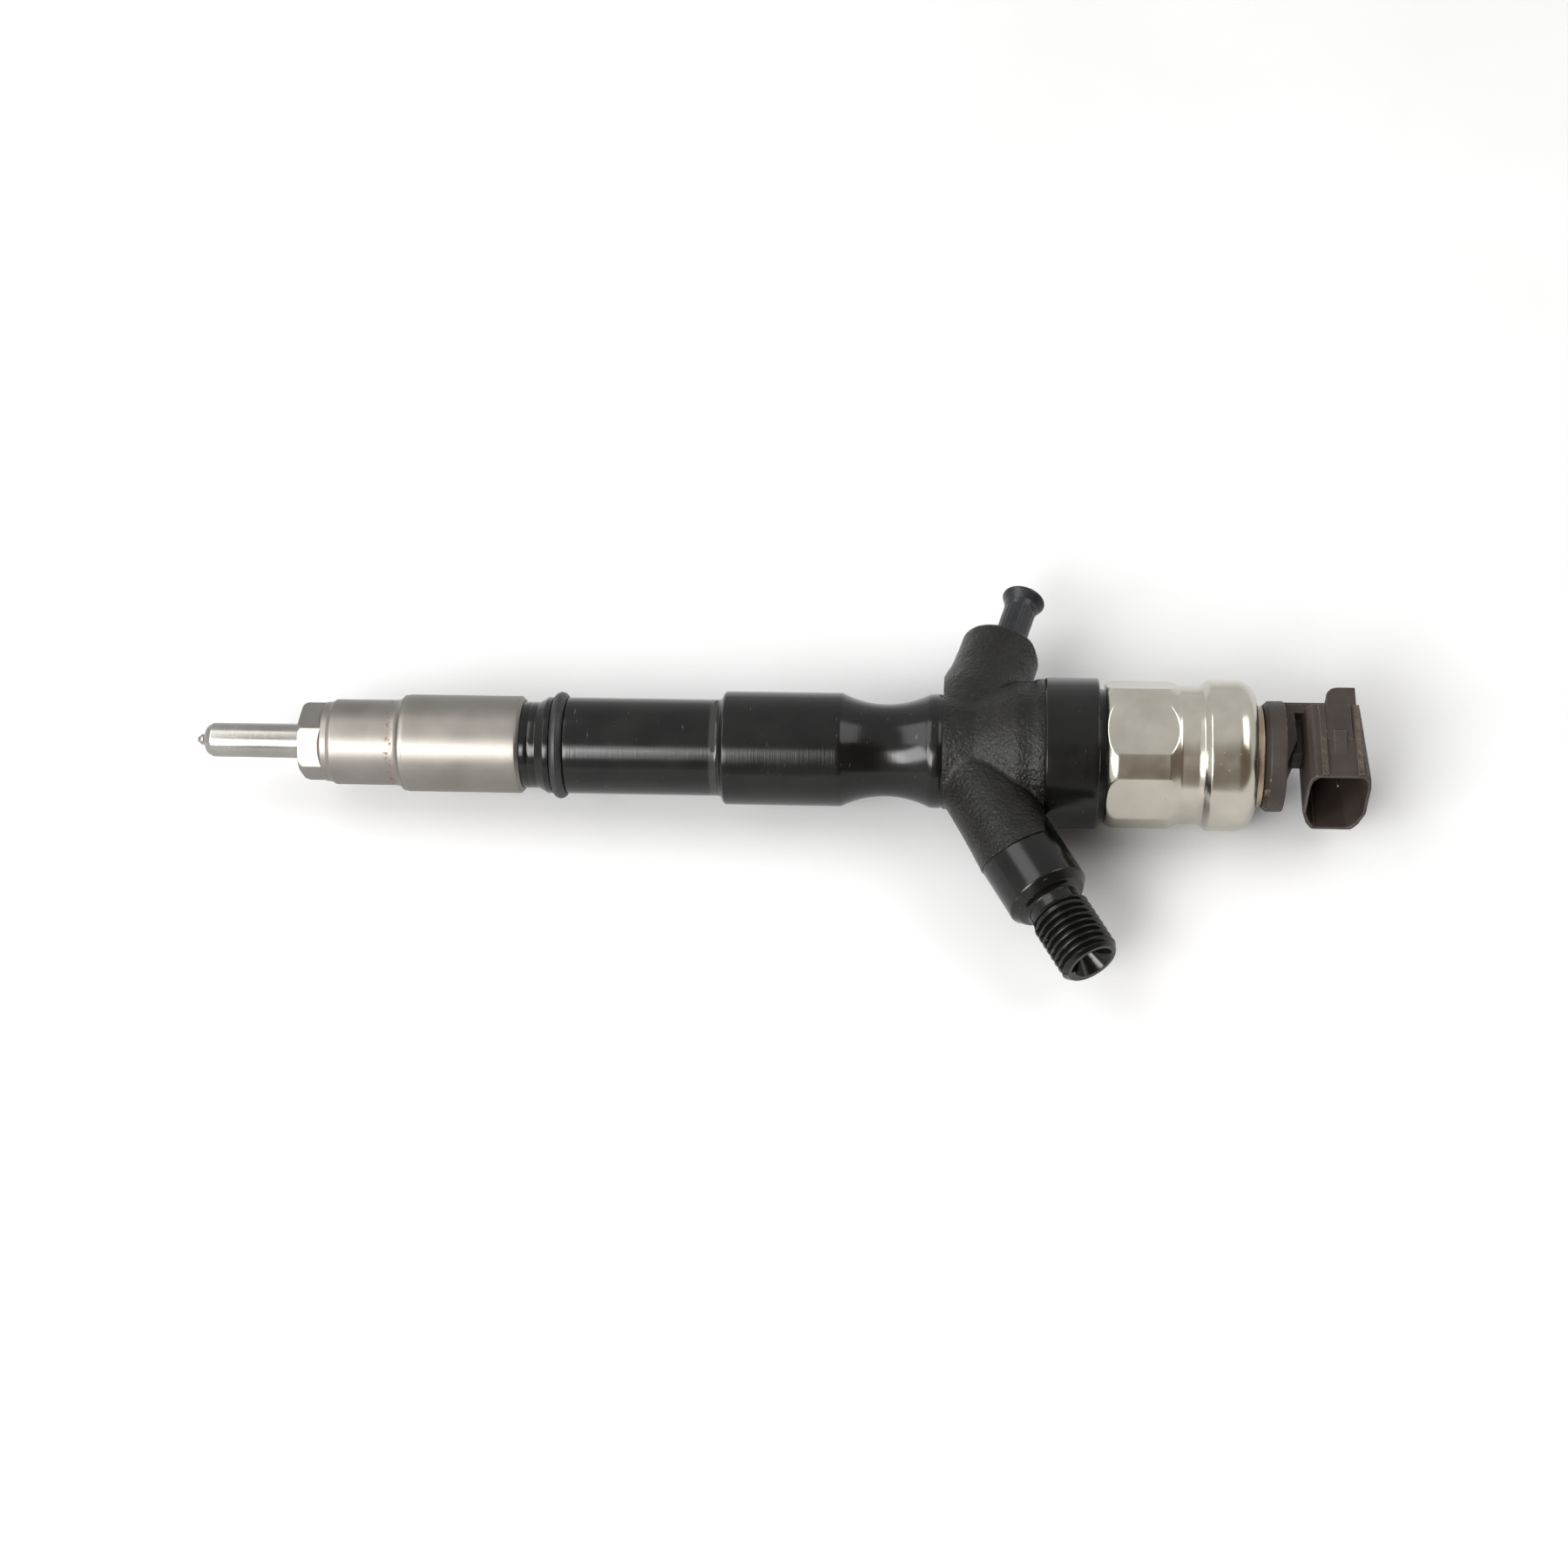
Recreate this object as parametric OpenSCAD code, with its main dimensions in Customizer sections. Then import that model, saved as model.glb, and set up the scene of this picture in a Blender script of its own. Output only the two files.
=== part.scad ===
// Common-rail diesel fuel injector, operated by a solenoid.
// X is the injector's axis and the nozzle points toward -X. The inlet arm leans toward -Y, the
// leak-off boss leans toward +Y, and +Z is normal to the plane that holds both.
// The origin is on the axis, in the end face of the nozzle nut that seats in the engine.

/* [Nozzle] */
// Diameter of the nozzle stem that enters the combustion chamber
stem_d = 7; // [6.8:0.1:7.2]
// Length of the stem from the nut's end face to its shoulder
stem_l = 19; // [17:0.5:21]
// Length of the rounded nose beyond the stem
nose_l = 3.2; // [3:0.1:3.6]
// Diameter of the nozzle collar inside the nut
collar_d = 14.3; // [14:0.1:14.4]
// Diameter of the needle where the nozzle guides it
needle_d = 4; // [3.8:0.1:4.2]
// Distance that the needle opens
needle_lift = 0.25; // [0.15:0.05:0.3]
// Number of spray holes
spray_holes = 7; // [5:1:8]

/* [Nozzle nut] */
// Across the flats of the short hexagon
nut_flats = 14; // [13.8:0.1:14.2]
// Diameter of the slim front part
nut_front_d = 17.3; // [17:0.1:17.6]
// Diameter of the threaded part
nut_d = 19.64; // [19.4:0.02:19.8]
// Length of the nut
nut_l = 45.2; // [44:0.2:46]

/* [Injector body] */
// Diameter of the slim shank
shank_d = 19.4; // [19.2:0.1:19.6]
// Diameter of the thick shank
thick_d = 22.8; // [22.4:0.1:23]
// Smallest diameter of the waist
waist_d = 18.52; // [18.2:0.02:19]
// Diameter of the turned collar under the solenoid nut
head_d = 30.1; // [29.8:0.1:30.4]
// Diameter of the high-pressure gallery
gallery_d = 1.8; // [1.4:0.1:2]

/* [Inlet arm] */
// Angle between the inlet arm and the injector's axis
inlet_angle = 61.2; // [60:0.2:62]
// Diameter of the turned barrel of the arm
barrel_d = 16.4; // [16:0.1:16.8]
// Outer diameter of the inlet thread
inlet_thread_d = 12; // [12:1:12]
// Mouth diameter of the sealing cone
inlet_mouth_d = 8.8; // [8.4:0.1:9]

/* [Leak-off port] */
// Angle between the leak-off boss and the injector's axis
port_angle = 74.7; // [74:0.1:76]
// Diameter of the boss
boss_d = 16.6; // [16.2:0.1:17]
// Diameter of the port that holds the plug
port_d = 6; // [5.6:0.1:6.2]

/* [Control valve] */
// Diameter of the command piston in its guide
piston_d = 4.3; // [4:0.1:4.5]
// Distance that the armature lifts
valve_lift = 0.06; // [0.04:0.01:0.08]
// Diameter of the valve ball
ball_d = 1.4; // [1.2:0.1:1.6]
// Diameter of the armature plate
armature_d = 16.6; // [16:0.1:17]

/* [Solenoid] */
// Across the flats of the solenoid nut
solenoid_flats = 28; // [27.9:0.1:28]
// Diameter over the lands between the flats
solenoid_land_d = 29.8; // [29.6:0.1:29.9]
// Diameter of the rim of the solenoid nut
solenoid_rim_d = 30; // [29.8:0.1:30.2]

/* [Connector] */
// Diameter of the moulded flange
flange_d = 22; // [21.8:0.1:22.2]
// Depth of the socket
socket_depth = 14; // [12:0.5:15]
// Thickness of the socket's wall
socket_wall = 0.7; // [0.6:0.1:0.9]
// Distance between the two terminals
pin_pitch = 4; // [3.8:0.1:4.2]

/* [Fits] */
// Radial clearance of a guided, moving piece
run_gap = 0.015; // [0.01:0.005:0.04]
// Radial clearance between pieces that are screwed or dropped in
loose_gap = 0.05; // [0.03:0.01:0.1]

/* [Hidden] */
$fn = 64;

// Stations along X, from the nozzle to the connector
collar_x = 5.5;
plate_x = 21;
body_x = 24.5;
spring_x = 26.4;
spring_top_x = 50;
chamber_x = 51.2;
ring_x = 51.3;
step_x = 85;
waist_x = 118.2;
cast_x = 129.3;
guide_x = 127.5;
valve_x = 146;
seat_x = 150;
collar_start_x = 149.7;
collar_end_x = 160.3;
hub_x = 156;
body_end_x = 171;
core_x = 172;
core_end_x = 186;
nut_start_x = 161.6;
shell_end_x = 189.5;
nut_end_x = 191.2;
flange_x = 192.6;
flange_end_x = 196.7;

// Radii inside the body
chamber_r = 3.9;
rod_bore_r = 2.6;
valve_bore_r = 4.05;
head_bore_r = 9;
gallery_y = -5.7;
dowel_r = 0.8;
dowel_y = 5.7;
body_thread_r = 7.95;
head_thread_r = 12.25;

// The forged arm and boss: where their axes cross X, and stations along each
inlet_x = 131.8;
arm_cast_l = 27;
arm_shift = 0.9;
arm_barrel_l = 40.3;
arm_neck_l = 42.8;
arm_l = 55.8;
port_x = 134.9;
boss_l = 27;
plug_spigot_l = 9;
plug_l = 13.7;
boss_shift = 0.85;
boss_cut_x = 148.5;

// The connector: socket centre in X, its rim and its floor in Y, and half its length in Z
socket_x = 206.7;
rim_y = -11.1;
floor_y = rim_y + socket_depth;
socket_top_y = 6.3;
socket_half_z = 9.15;
socket_half_x = 6.2;
latch_x = 207.6;
pin_w = 0.64;
pin_tip_y = rim_y + 5.5;
pin_back_y = floor_y + 3;

steel = "#b9b6ae";
dark_steel = "#6d6f71";
black_oxide = "#2b2d2f";
nickel = "#c9c4b6";
rubber = "#1a1b1c";
moulding = "#6b625c";
copper = "#b46a3c";
brass = "#c0a878";

// ---------------------------------------------------------------- helpers

// A solid of revolution about X. Each point of the outline is [radius, x].
module turned(outline) {
    rotate([0, 90, 0]) rotate_extrude() polygon(outline);
}

// A cylinder along X between two stations
module rod(r, from, to) {
    translate([from, 0, 0]) rotate([0, 90, 0]) cylinder(r = r, h = to - from);
}

// A cone along X between two stations
module taper(r_from, r_to, from, to) {
    translate([from, 0, 0]) rotate([0, 90, 0]) cylinder(r1 = r_from, r2 = r_to, h = to - from);
}

// A tube along X between two stations
module tube(r_out, r_in, from, to) {
    difference() {
        rod(r_out, from, to);
        rod(r_in, from - 1, to + 1);
    }
}

// A straight drilling between two points
module drilling(r, start, end) {
    way = end - start;
    translate(start)
        rotate([0, acos(way.z / norm(way)), atan2(way.y, way.x)])
            cylinder(r = r, h = norm(way));
}

// A hexagonal bar along X, one of whose flats faces the given elevation above -Y
module hex_bar(flats, from, to, elevation) {
    translate([from, 0, 0]) rotate([-elevation, 0, 0]) rotate([0, 90, 0])
        cylinder(r = flats / 2 / cos(30), h = to - from, $fn = 6);
}

// Points of an arc about [radius, x] centre, from one angle to another
function arc(centre, r, from, to, steps = 8) =
    [for (i = [0:steps]) let (a = from + (to - from) * i / steps)
        centre + r * [cos(a), sin(a)]];

// Places children in the inlet arm's own frame: its X runs out along the arm
module on_inlet() {
    translate([inlet_x, 0, 0]) rotate([0, 0, -inlet_angle]) children();
}

// Places children in the leak-off boss's own frame: its X runs out along the boss
module on_port() {
    translate([port_x, 0, 0]) rotate([0, 0, port_angle]) children();
}

// A round-wire compression spring along X. Its first and last turns lie closed.
module coil_spring(from, to, mean_r, wire_r, turns) {
    steps = 16;
    sides = 8;
    last = turns * steps;
    dead = 2 * wire_r * 1.03;
    open = (to - from - 2 * wire_r - 2 * dead) / (turns - 2);
    function advance(t) =
        t < 1 ? dead * t : t > turns - 1 ? dead + open * (turns - 2) + dead * (t - turns + 1)
        : dead + open * (t - 1);
    function wire_point(i, k) =
        let (t = i / steps, a = 360 * t, b = 360 * k / sides, r = mean_r + wire_r * cos(b))
        [from + wire_r + advance(t) + wire_r * sin(b), r * cos(a), r * sin(a)];
    polyhedron(
        points = [for (i = [0:last], k = [0:sides - 1]) wire_point(i, k)],
        faces = concat(
            [[for (k = [0:sides - 1]) k]],
            [[for (k = [sides - 1:-1:0]) last * sides + k]],
            [for (i = [0:last - 1], k = [0:sides - 1]) let (n = (k + 1) % sides)
                [i * sides + k, (i + 1) * sides + k, (i + 1) * sides + n, i * sides + n]]
        )
    );
}

// ---------------------------------------------------------------- nozzle

// Where the needle's cone meets the seat: radius of the sac hole and its station
sac_r = 0.5;
sac_x = -20.1;
seat_slope = tan(30);
stem_bore_r = 1.95;

module nozzle_body() {
    stem_r = stem_d / 2;
    relief_r = stem_r - 0.2;
    nose_x = -stem_l - nose_l;
    guide_r = needle_d / 2;
    seat_top_x = sac_x + (stem_bore_r - sac_r) / seat_slope;
    color(steel) difference() {
        turned(concat(
            [[0, nose_x], [0.45, nose_x], [0.85, nose_x + 0.35], [1.1, nose_x + 0.95],
             [1.2, nose_x + 1.35]],
            arc([stem_r - 1.3, -stem_l + 0.1], 1.3, -60, 0, 5),
            [[stem_r, 0], [relief_r, 0.1], [relief_r, collar_x],
             [collar_d / 2 - 0.3, collar_x], [collar_d / 2, collar_x + 0.3],
             [collar_d / 2, plate_x - 0.3], [collar_d / 2 - 0.3, plate_x], [0, plate_x]]
        ));
        turned([
            [0, nose_x + 0.9], [sac_r, nose_x + 1.2], [sac_r, sac_x], [stem_bore_r, seat_top_x],
            [stem_bore_r, 4.5], [2.9, 5.5], [2.9, 8.5], [guide_r, 9.5], [guide_r, plate_x + 1],
            [0, plate_x + 1]
        ]);
        drilling(gallery_d / 2, [7, -1.9, 0], [plate_x + 1, gallery_y - 0.25, 0]);
        dowel_holes(plate_x - 3, plate_x + 1);
        for (i = [0:spray_holes - 1]) rotate([360 * i / spray_holes, 0, 0])
            drilling(0.1, [nose_x + 1.4, 0.2, 0], [nose_x + 0.4, 2.6, 0]);
    }
}

// Two holes for the locating dowels
module dowel_holes(from, to) {
    for (side = [-1, 1]) translate([0, dowel_y * cos(40), side * dowel_y * sin(40)])
        rod(dowel_r, from, to);
}

module nozzle_needle() {
    guide_r = needle_d / 2 - run_gap;
    land_r = 1.45;
    tip_gap = 0.06;
    tip_x = sac_x - sac_r / seat_slope + tip_gap;
    color(steel) turned([
        [0, tip_x + 0.5], [0.3, tip_x + 0.5], [land_r, tip_x + land_r / seat_slope],
        [land_r, 6], [guide_r, 9.5], [guide_r, plate_x - needle_lift - 0.05],
        [1.3, plate_x - needle_lift - 0.05], [1.3, 25], [0, 25]
    ]);
}

module distance_plate() {
    color(dark_steel) difference() {
        rod(collar_d / 2, plate_x, body_x);
        rod(1.45, plate_x - 1, body_x + 1);
        translate([0, gallery_y, 0]) rod(gallery_d / 2, plate_x - 1, body_x + 1);
        dowel_holes(plate_x - 1, body_x + 1);
    }
}

module nozzle_dowels() {
    color(steel) intersection() {
        dowel_holes(plate_x - 3, body_x + 3);
        rod(collar_d / 2, plate_x - 2.9, body_x + 2.4);
    }
}

module pressure_pin() {
    color(dark_steel) turned([
        [0, 25], [3.75, 25], [3.75, spring_x], [2, spring_x], [2, 27.6], [0, 27.6]
    ]);
}

module nozzle_spring() {
    color(dark_steel) coil_spring(spring_x + 0.02, spring_top_x, 3, 0.55, 12);
}

module spring_shim() {
    color(steel) tube(3.8, 2.5, spring_top_x, chamber_x);
}

module nozzle_nut() {
    front_r = nut_front_d / 2;
    r = nut_d / 2;
    bore_r = collar_d / 2 + loose_gap;
    color(dark_steel) difference() {
        union() {
            intersection() {
                hex_bar(nut_flats, 0, 5, 43.3);
                turned([[0, 0], [7.6, 0], [8.15, 0.6], [8.15, 5], [0, 5]]);
            }
            turned(concat(
                [[0, 4], [7.1, 4], [8.05, 4.7], [8.15, 6], [front_r, 6.8], [front_r, 19]],
                arc([front_r + 2.2, 19], 2.2, 180, 122, 6),
                [[r, 21.6], [r, nut_l - 0.5], [r - 0.5, nut_l], [0, nut_l]]
            ));
        }
        turned([
            [0, -1], [stem_d / 2 + loose_gap, -1], [stem_d / 2 + loose_gap, collar_x],
            [bore_r, collar_x], [bore_r, body_x - 0.5], [body_thread_r + loose_gap, body_x + 0.2],
            [body_thread_r + loose_gap, nut_l + 1], [0, nut_l + 1]
        ]);
    }
}

// ---------------------------------------------------------------- injector body

// The turned outline of the body, from the thread in the nozzle nut to the collar
module body_turning() {
    shank_r = shank_d / 2;
    thick_r = thick_d / 2;
    waist_r = waist_d / 2;
    waist_arc_r = 19.5;
    waist_half_angle = 26.6;
    turned(concat(
        [[0, body_x], [body_thread_r - 0.6, body_x], [body_thread_r, body_x + 0.6],
         [body_thread_r, nut_l], [8.7, nut_l], [8.7, 48]],
        arc([shank_r - 0.55, 50.2], 0.6, -60, 0, 4),
        [[shank_r + 0.05, ring_x - 0.1], [8.05, ring_x - 0.1], [8.05, ring_x + 2.8],
         [shank_r, ring_x + 2.8], [shank_r, step_x - 0.6]],
        arc([shank_r + 1.2, step_x - 0.6], 1.2, 180, 120, 4),
        [[thick_r, step_x + 1], [thick_r, waist_x - waist_arc_r * sin(waist_half_angle)]],
        arc([waist_r + waist_arc_r, waist_x], waist_arc_r,
            180 + waist_half_angle, 180 - waist_half_angle, 12),
        [[11.5, cast_x - 2], [11.5, 136], [14.2, 144.2], [14.2, collar_start_x - 1.3],
         [head_d / 2 - 0.3, collar_start_x], [head_d / 2, collar_start_x + 0.3],
         [head_d / 2, collar_end_x - 1.2]],
        arc([head_d / 2 - 1.2, collar_end_x - 1.2], 1.2, 0, 90, 4),
        [[12.9, collar_end_x], [12.9, nut_start_x], [head_thread_r - 0.05, nut_start_x],
         [head_thread_r - 0.05, body_end_x - 3], [10.45, body_end_x - 3],
         [10.45, body_end_x - 1.1], [head_thread_r - 0.3, body_end_x - 1.1],
         [head_thread_r - 0.3, body_end_x - 0.3], [head_thread_r - 0.6, body_end_x],
         [0, body_end_x]]
    ));
}

// Forged shapes end where the collar was turned: this keeps what lies before a station
module forged_up_to(x) {
    intersection() {
        children();
        translate([x - 60, -60, -20]) cube([60, 120, 40]);
    }
}

// The forged root of the inlet arm, its turned barrel, neck and thread
module inlet_arm() {
    barrel_r = barrel_d / 2;
    thread_r = inlet_thread_d / 2;
    forged_up_to(collar_start_x - 0.1)
        on_inlet() translate([0, arm_shift, 0]) taper(9, barrel_r, 0, arm_cast_l);
    on_inlet() {
        turned([
            [0, arm_cast_l], [barrel_r, arm_cast_l], [barrel_r, arm_barrel_l - 1.4],
            [barrel_r - 1.2, arm_barrel_l], [5.3, arm_barrel_l + 0.4], [5.3, arm_neck_l],
            [thread_r, arm_neck_l + 0.7], [thread_r, arm_l - 0.9], [thread_r - 0.9, arm_l],
            [0, arm_l]
        ]);
    }
}

// The forged leak-off boss
module leak_off_boss() {
    boss_r = boss_d / 2;
    forged_up_to(boss_cut_x) on_port() translate([0, boss_shift, 0]) turned(concat(
        [[0, 0], [11.2, 0], [10, 11], [boss_r + 0.2, 18]],
        arc([boss_r - 2, boss_l - 2], 2, 0, 90, 5),
        [[0, boss_l]]
    ));
}

// Galleries and bores inside the body
module body_bores() {
    rod(chamber_r, body_x - 1, chamber_x);
    rod(rod_bore_r, body_x, guide_x + 1);
    rod(valve_bore_r, guide_x, valve_x + 1);
    rod(head_bore_r, valve_x, body_end_x + 1);
    translate([0, gallery_y, 0]) rod(gallery_d / 2, body_x - 1, 139);
    drilling(gallery_d / 2, [138, gallery_y, 0], [140, -3, 0]);
    dowel_holes(body_x - 1, body_x + 2.5);
    on_inlet() {
        rod(1.2, -gallery_y / sin(inlet_angle), arm_l);
        rod(2.3, 35, arm_l);
        taper(2.3, inlet_mouth_d / 2 + 0.577, 51.5, arm_l + 1);
    }
    on_port() rod(port_d / 2, boss_l - plug_spigot_l - 1, boss_l + 1);
    drilling(1.3, [138.9, 15.8, 0], [152, 6, 0]);
}

module injector_body() {
    color(black_oxide) difference() {
        union() {
            body_turning();
            inlet_arm();
            leak_off_boss();
        }
        body_bores();
    }
}

module body_o_ring() {
    color(rubber) translate([ring_x + 1.35, 0, 0]) rotate([0, 90, 0])
        rotate_extrude() translate([9.45, 0]) circle(r = 1.35, $fn = 32);
}

// A fluted rod that strains the fuel: it is gripped at both ends
module inlet_filter() {
    color(steel) on_inlet() difference() {
        rod(2.3, 36, 50.5);
        for (i = [0:5]) rotate([60 * i, 0, 0]) {
            translate([i % 2 == 0 ? 35 : 37.5, 1.7, -0.35]) cube([13, 1, 0.7]);
        }
    }
}

module leak_off_plug() {
    spigot_r = port_d / 2 - 0.05;
    top = boss_l + plug_l;
    color(rubber) on_port() difference() {
        turned([
            [0, boss_l - plug_spigot_l], [spigot_r - 0.4, boss_l - plug_spigot_l],
            [spigot_r, boss_l - plug_spigot_l + 0.6], [spigot_r, boss_l + 0.1],
            [3.3, boss_l + 0.1], [3.3, top - 3.4], [3.6, top - 2.2], [4.5, top - 0.5],
            [4.4, top], [0, top]
        ]);
        taper(2, 3.9, top - 3, top + 0.3);
        rod(2, boss_l - plug_spigot_l + 2, top - 2);
    }
}

// ---------------------------------------------------------------- control valve

piston_top_x = 143.2;
throttle_r = 0.15;
ball_x = seat_x - 0.09;

module command_piston() {
    guide_r = piston_d / 2 - run_gap;
    color(steel) turned([
        [0, 27.62], [1.9, 27.62], [1.9, 50], [2.05, 52], [2.05, guide_x - 3],
        [guide_r, guide_x + 2], [guide_r, piston_top_x - 0.8], [1.2, piston_top_x],
        [0, piston_top_x]
    ]);
}

module valve_body() {
    color(dark_steel) difference() {
        turned([
            [0, guide_x + 1], [valve_bore_r - 0.05, guide_x + 1],
            [valve_bore_r - 0.05, 138.5], [3.1, 139], [3.1, 141], [valve_bore_r - 0.05, 141.5],
            [valve_bore_r - 0.05, valve_x], [8.6, valve_x], [8.6, seat_x], [0, seat_x]
        ]);
        rod(piston_d / 2, guide_x, piston_top_x + needle_lift + 0.3);
        rod(throttle_r, piston_top_x, seat_x);
        rod(0.5, 145.5, seat_x - 0.9);
        taper(0.3, 1.1, seat_x - 0.8, seat_x + 0.01);
        drilling(throttle_r, [140, 4, 0], [144.4, 0.4, 0]);
        for (i = [0:2]) rotate([120 * i + 60, 0, 0]) translate([0, 6.8, 0])
            rod(0.9, valve_x - 1, seat_x + 1);
    }
}

module valve_seal_ring() {
    color(copper) tube(valve_bore_r - 0.05, 2.5, guide_x, guide_x + 1);
}

module valve_clamp_nut() {
    color(dark_steel) difference() {
        rod(head_bore_r - loose_gap, seat_x, hub_x);
        rod(5.6, seat_x - 1, hub_x + 1);
        for (i = [0:3]) rotate([90 * i + 45, 0, 0])
            translate([hub_x - 2, 5, -1]) cube([3, 2.6, 2]);
    }
}

module valve_ball() {
    color(steel) translate([ball_x, 0, 0]) sphere(d = ball_d);
}

module ball_cup() {
    color(dark_steel) difference() {
        rod(1.2, ball_x + 0.25, 151.6);
        translate([ball_x, 0, 0]) sphere(d = ball_d);
    }
}

module armature_pin() {
    color(steel) turned([
        [0, 151.6], [1.5, 151.6], [1.5, core_x - 0.1], [0.9, core_x - 0.1],
        [0.9, core_x + 3], [0, core_x + 3]
    ]);
}

module armature_plate() {
    color(dark_steel) difference() {
        union() {
            rod(armature_d / 2, core_x - 2.6, core_x - 0.1);
            rod(2.6, core_x - 3.8, core_x - 0.1);
        }
        rod(1.5, core_x - 5, core_x + 1);
        for (i = [0:5]) rotate([60 * i, 0, 0]) translate([0, 5.4, 0])
            rod(1.1, core_x - 4, core_x + 1);
    }
}

module armature_guide() {
    color(steel) difference() {
        union() {
            rod(head_bore_r - loose_gap, hub_x, hub_x + 2.5);
            rod(3.1, 152.6, core_x - 4.6);
        }
        rod(1.5 + run_gap, 150, core_x);
        for (i = [0:3]) rotate([90 * i, 0, 0]) translate([0, 6, 0])
            rod(1.2, hub_x - 1, hub_x + 4);
    }
}

module lift_shim() {
    color(steel) tube(head_thread_r - 0.5, 9.2, body_end_x, core_x);
}

module valve_spring() {
    color(steel) coil_spring(core_x - 0.08, 184, 1.4, 0.32, 8);
}

module spring_cap() {
    color(steel) tube(2.15, 0.8, 184, 185.2);
}

// ---------------------------------------------------------------- solenoid

// The slot through which the leads of the winding leave
lead_z = 7.4;
lead_w = 1.6;
lead_t = 0.6;

// One lead on each side, between two stations
module lead_slots(from, to, grow = 0) {
    for (side = [-1, 1])
        translate([from, -lead_w / 2 - grow, side * lead_z - lead_t / 2 - grow])
            cube([to - from, lead_w + 2 * grow, lead_t + 2 * grow]);
}

module solenoid_core() {
    color(dark_steel) difference() {
        rod(11.2, core_x, core_end_x);
        tube(8.9, 5, core_x - 1, 183);
        rod(2.2, core_x - 1, 185.2);
        lead_slots(182, core_end_x + 1, 0.3);
    }
}

module coil_bobbin() {
    color("#3a3430") difference() {
        tube(8.8, 5.05, core_x + 0.4, 182.9);
        tube(10, 5.9, core_x + 1.4, 181.9);
    }
}

module coil_winding() {
    color(copper) tube(8.5, 5.9, core_x + 1.4, 181.9);
}

module solenoid_shell() {
    color(dark_steel) difference() {
        rod(12, core_x, shell_end_x);
        rod(11.2, core_x - 1, core_end_x);
        lead_slots(core_end_x - 1, shell_end_x + 1, 0.3);
    }
}

module solenoid_o_ring() {
    color(rubber) translate([body_end_x - 2.05, 0, 0]) rotate([0, 90, 0])
        rotate_extrude() translate([11.3, 0]) circle(r = 0.85, $fn = 32);
}

module solenoid_nut() {
    land_r = solenoid_land_d / 2;
    neck_r = solenoid_flats / 2 - 0.25;
    flats_end_x = 176.2;
    rim_r = solenoid_rim_d / 2;
    color(nickel) difference() {
        intersection() {
            turned(concat(
                [[0, nut_start_x]],
                arc([land_r - 3, nut_start_x + 2.3], 3, -50, 0, 6),
                [[land_r, 173.9], [neck_r, 176.1], [neck_r, 179]],
                arc([neck_r + 0.6, 180.3], 0.6, 180, 120, 3),
                arc([rim_r - 0.8, 181.8], 0.8, -60, 0, 4),
                arc([rim_r - 4.2, nut_end_x - 4.2], 4.2, 0, 84, 10),
                [[rim_r - 3.9, nut_end_x], [0, nut_end_x]]
            ));
            union() {
                hex_bar(solenoid_flats, nut_start_x - 1, flats_end_x + 1, 74.7);
                rod(rim_r + 1, flats_end_x, nut_end_x + 1);
            }
        }
        rod(head_thread_r, nut_start_x - 1, shell_end_x);
        rod(10.2, nut_start_x - 1, nut_end_x + 1);
    }
}

module end_plate() {
    color(brass) difference() {
        rod(10.1, shell_end_x, flange_x);
        lead_slots(shell_end_x - 1, flange_x + 1, 0.3);
    }
}

// ---------------------------------------------------------------- connector

// The socket's outline in X and Z: long in Z, with slanted corners, squarer at the front wall
function socket_outline(grow) = [
    for (c = [[1, 1], [-1, 1], [-1, -1], [1, -1]])
        let (
            x = socket_half_x + grow, z = socket_half_z + grow, flip = c.x * c.y < 0,
            corner = c.y > 0 ? [[1.2, 0], [0.3, 1.2]] : [[2, 0], [0.7, 2.2]],
            ends = [for (k = corner) [c.x * (x - k.x), c.y * (z - k.y)]],
            side = [c.x * x, c.y * 4]
        )
        each flip ? [ends[0], ends[1], side] : [side, ends[1], ends[0]]
];

// A prism of that outline between two heights in Y
module socket_prism(grow, from, to) {
    translate([socket_x, to, 0]) rotate([90, 0, 0])
        linear_extrude(to - from) polygon(socket_outline(grow));
}

// The draft of the socket's outer side, as a wedge to cut away
module side_draft() {
    translate([socket_x + socket_half_x, rim_y, -15]) rotate([0, 0, 3.6]) cube([5, 30, 30]);
}

// Two guide rails, the latch ramp and its small stop on the socket's front wall
module socket_trim() {
    wall_z = socket_half_z;
    rail_w = 0.95;
    for (x = [-3.6, 3.2]) translate([socket_x + x, rim_y + 0.2, wall_z - 0.5])
        cube([rail_w, socket_top_y - rim_y - 0.7, 1]);
    translate([socket_x - 1, 0, 0]) rotate([90, 0, 90]) linear_extrude(2.4)
        polygon([[-6, wall_z - 0.3], [-6, wall_z], [-0.7, wall_z + 0.9], [-0.7, wall_z - 0.3]]);
    translate([socket_x - 0.8, -0.8, wall_z - 0.5]) cube([2, 1, 0.8]);
    translate([socket_x - 2.7, -2.3, wall_z - 0.5]) cube([5.4, socket_top_y + 2.3, 0.75]);
}

// The upright stop above the front wall, with one rounded shoulder
module latch_block() {
    low_x = 204.8;
    high_x = 210.6;
    top_y = 10.5;
    round_r = 2.4;
    translate([0, 0, 2]) linear_extrude(socket_half_z - 2) polygon(concat(
        [[high_x, socket_top_y - 1], [high_x, top_y]],
        arc([low_x + round_r, top_y - round_r], round_r, 90, 180, 6),
        [[low_x, socket_top_y - 1]]
    ));
}

// The bridge from the flange to the socket: shelf, web and gussets
module bridge() {
    translate([flange_end_x - 0.5, 7.2, -5]) cube([9.2, 2.5, 10]);
    translate([flange_end_x - 0.5, -1.1, -2.5]) cube([9.2, 10, 5]);
    translate([0, 0, -5]) linear_extrude(10)
        polygon([[flange_end_x - 0.5, 8], [199, 8], [199.3, 0.7], [flange_end_x, -5.8],
                 [flange_end_x - 0.5, -5.8]]);
}

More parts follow.
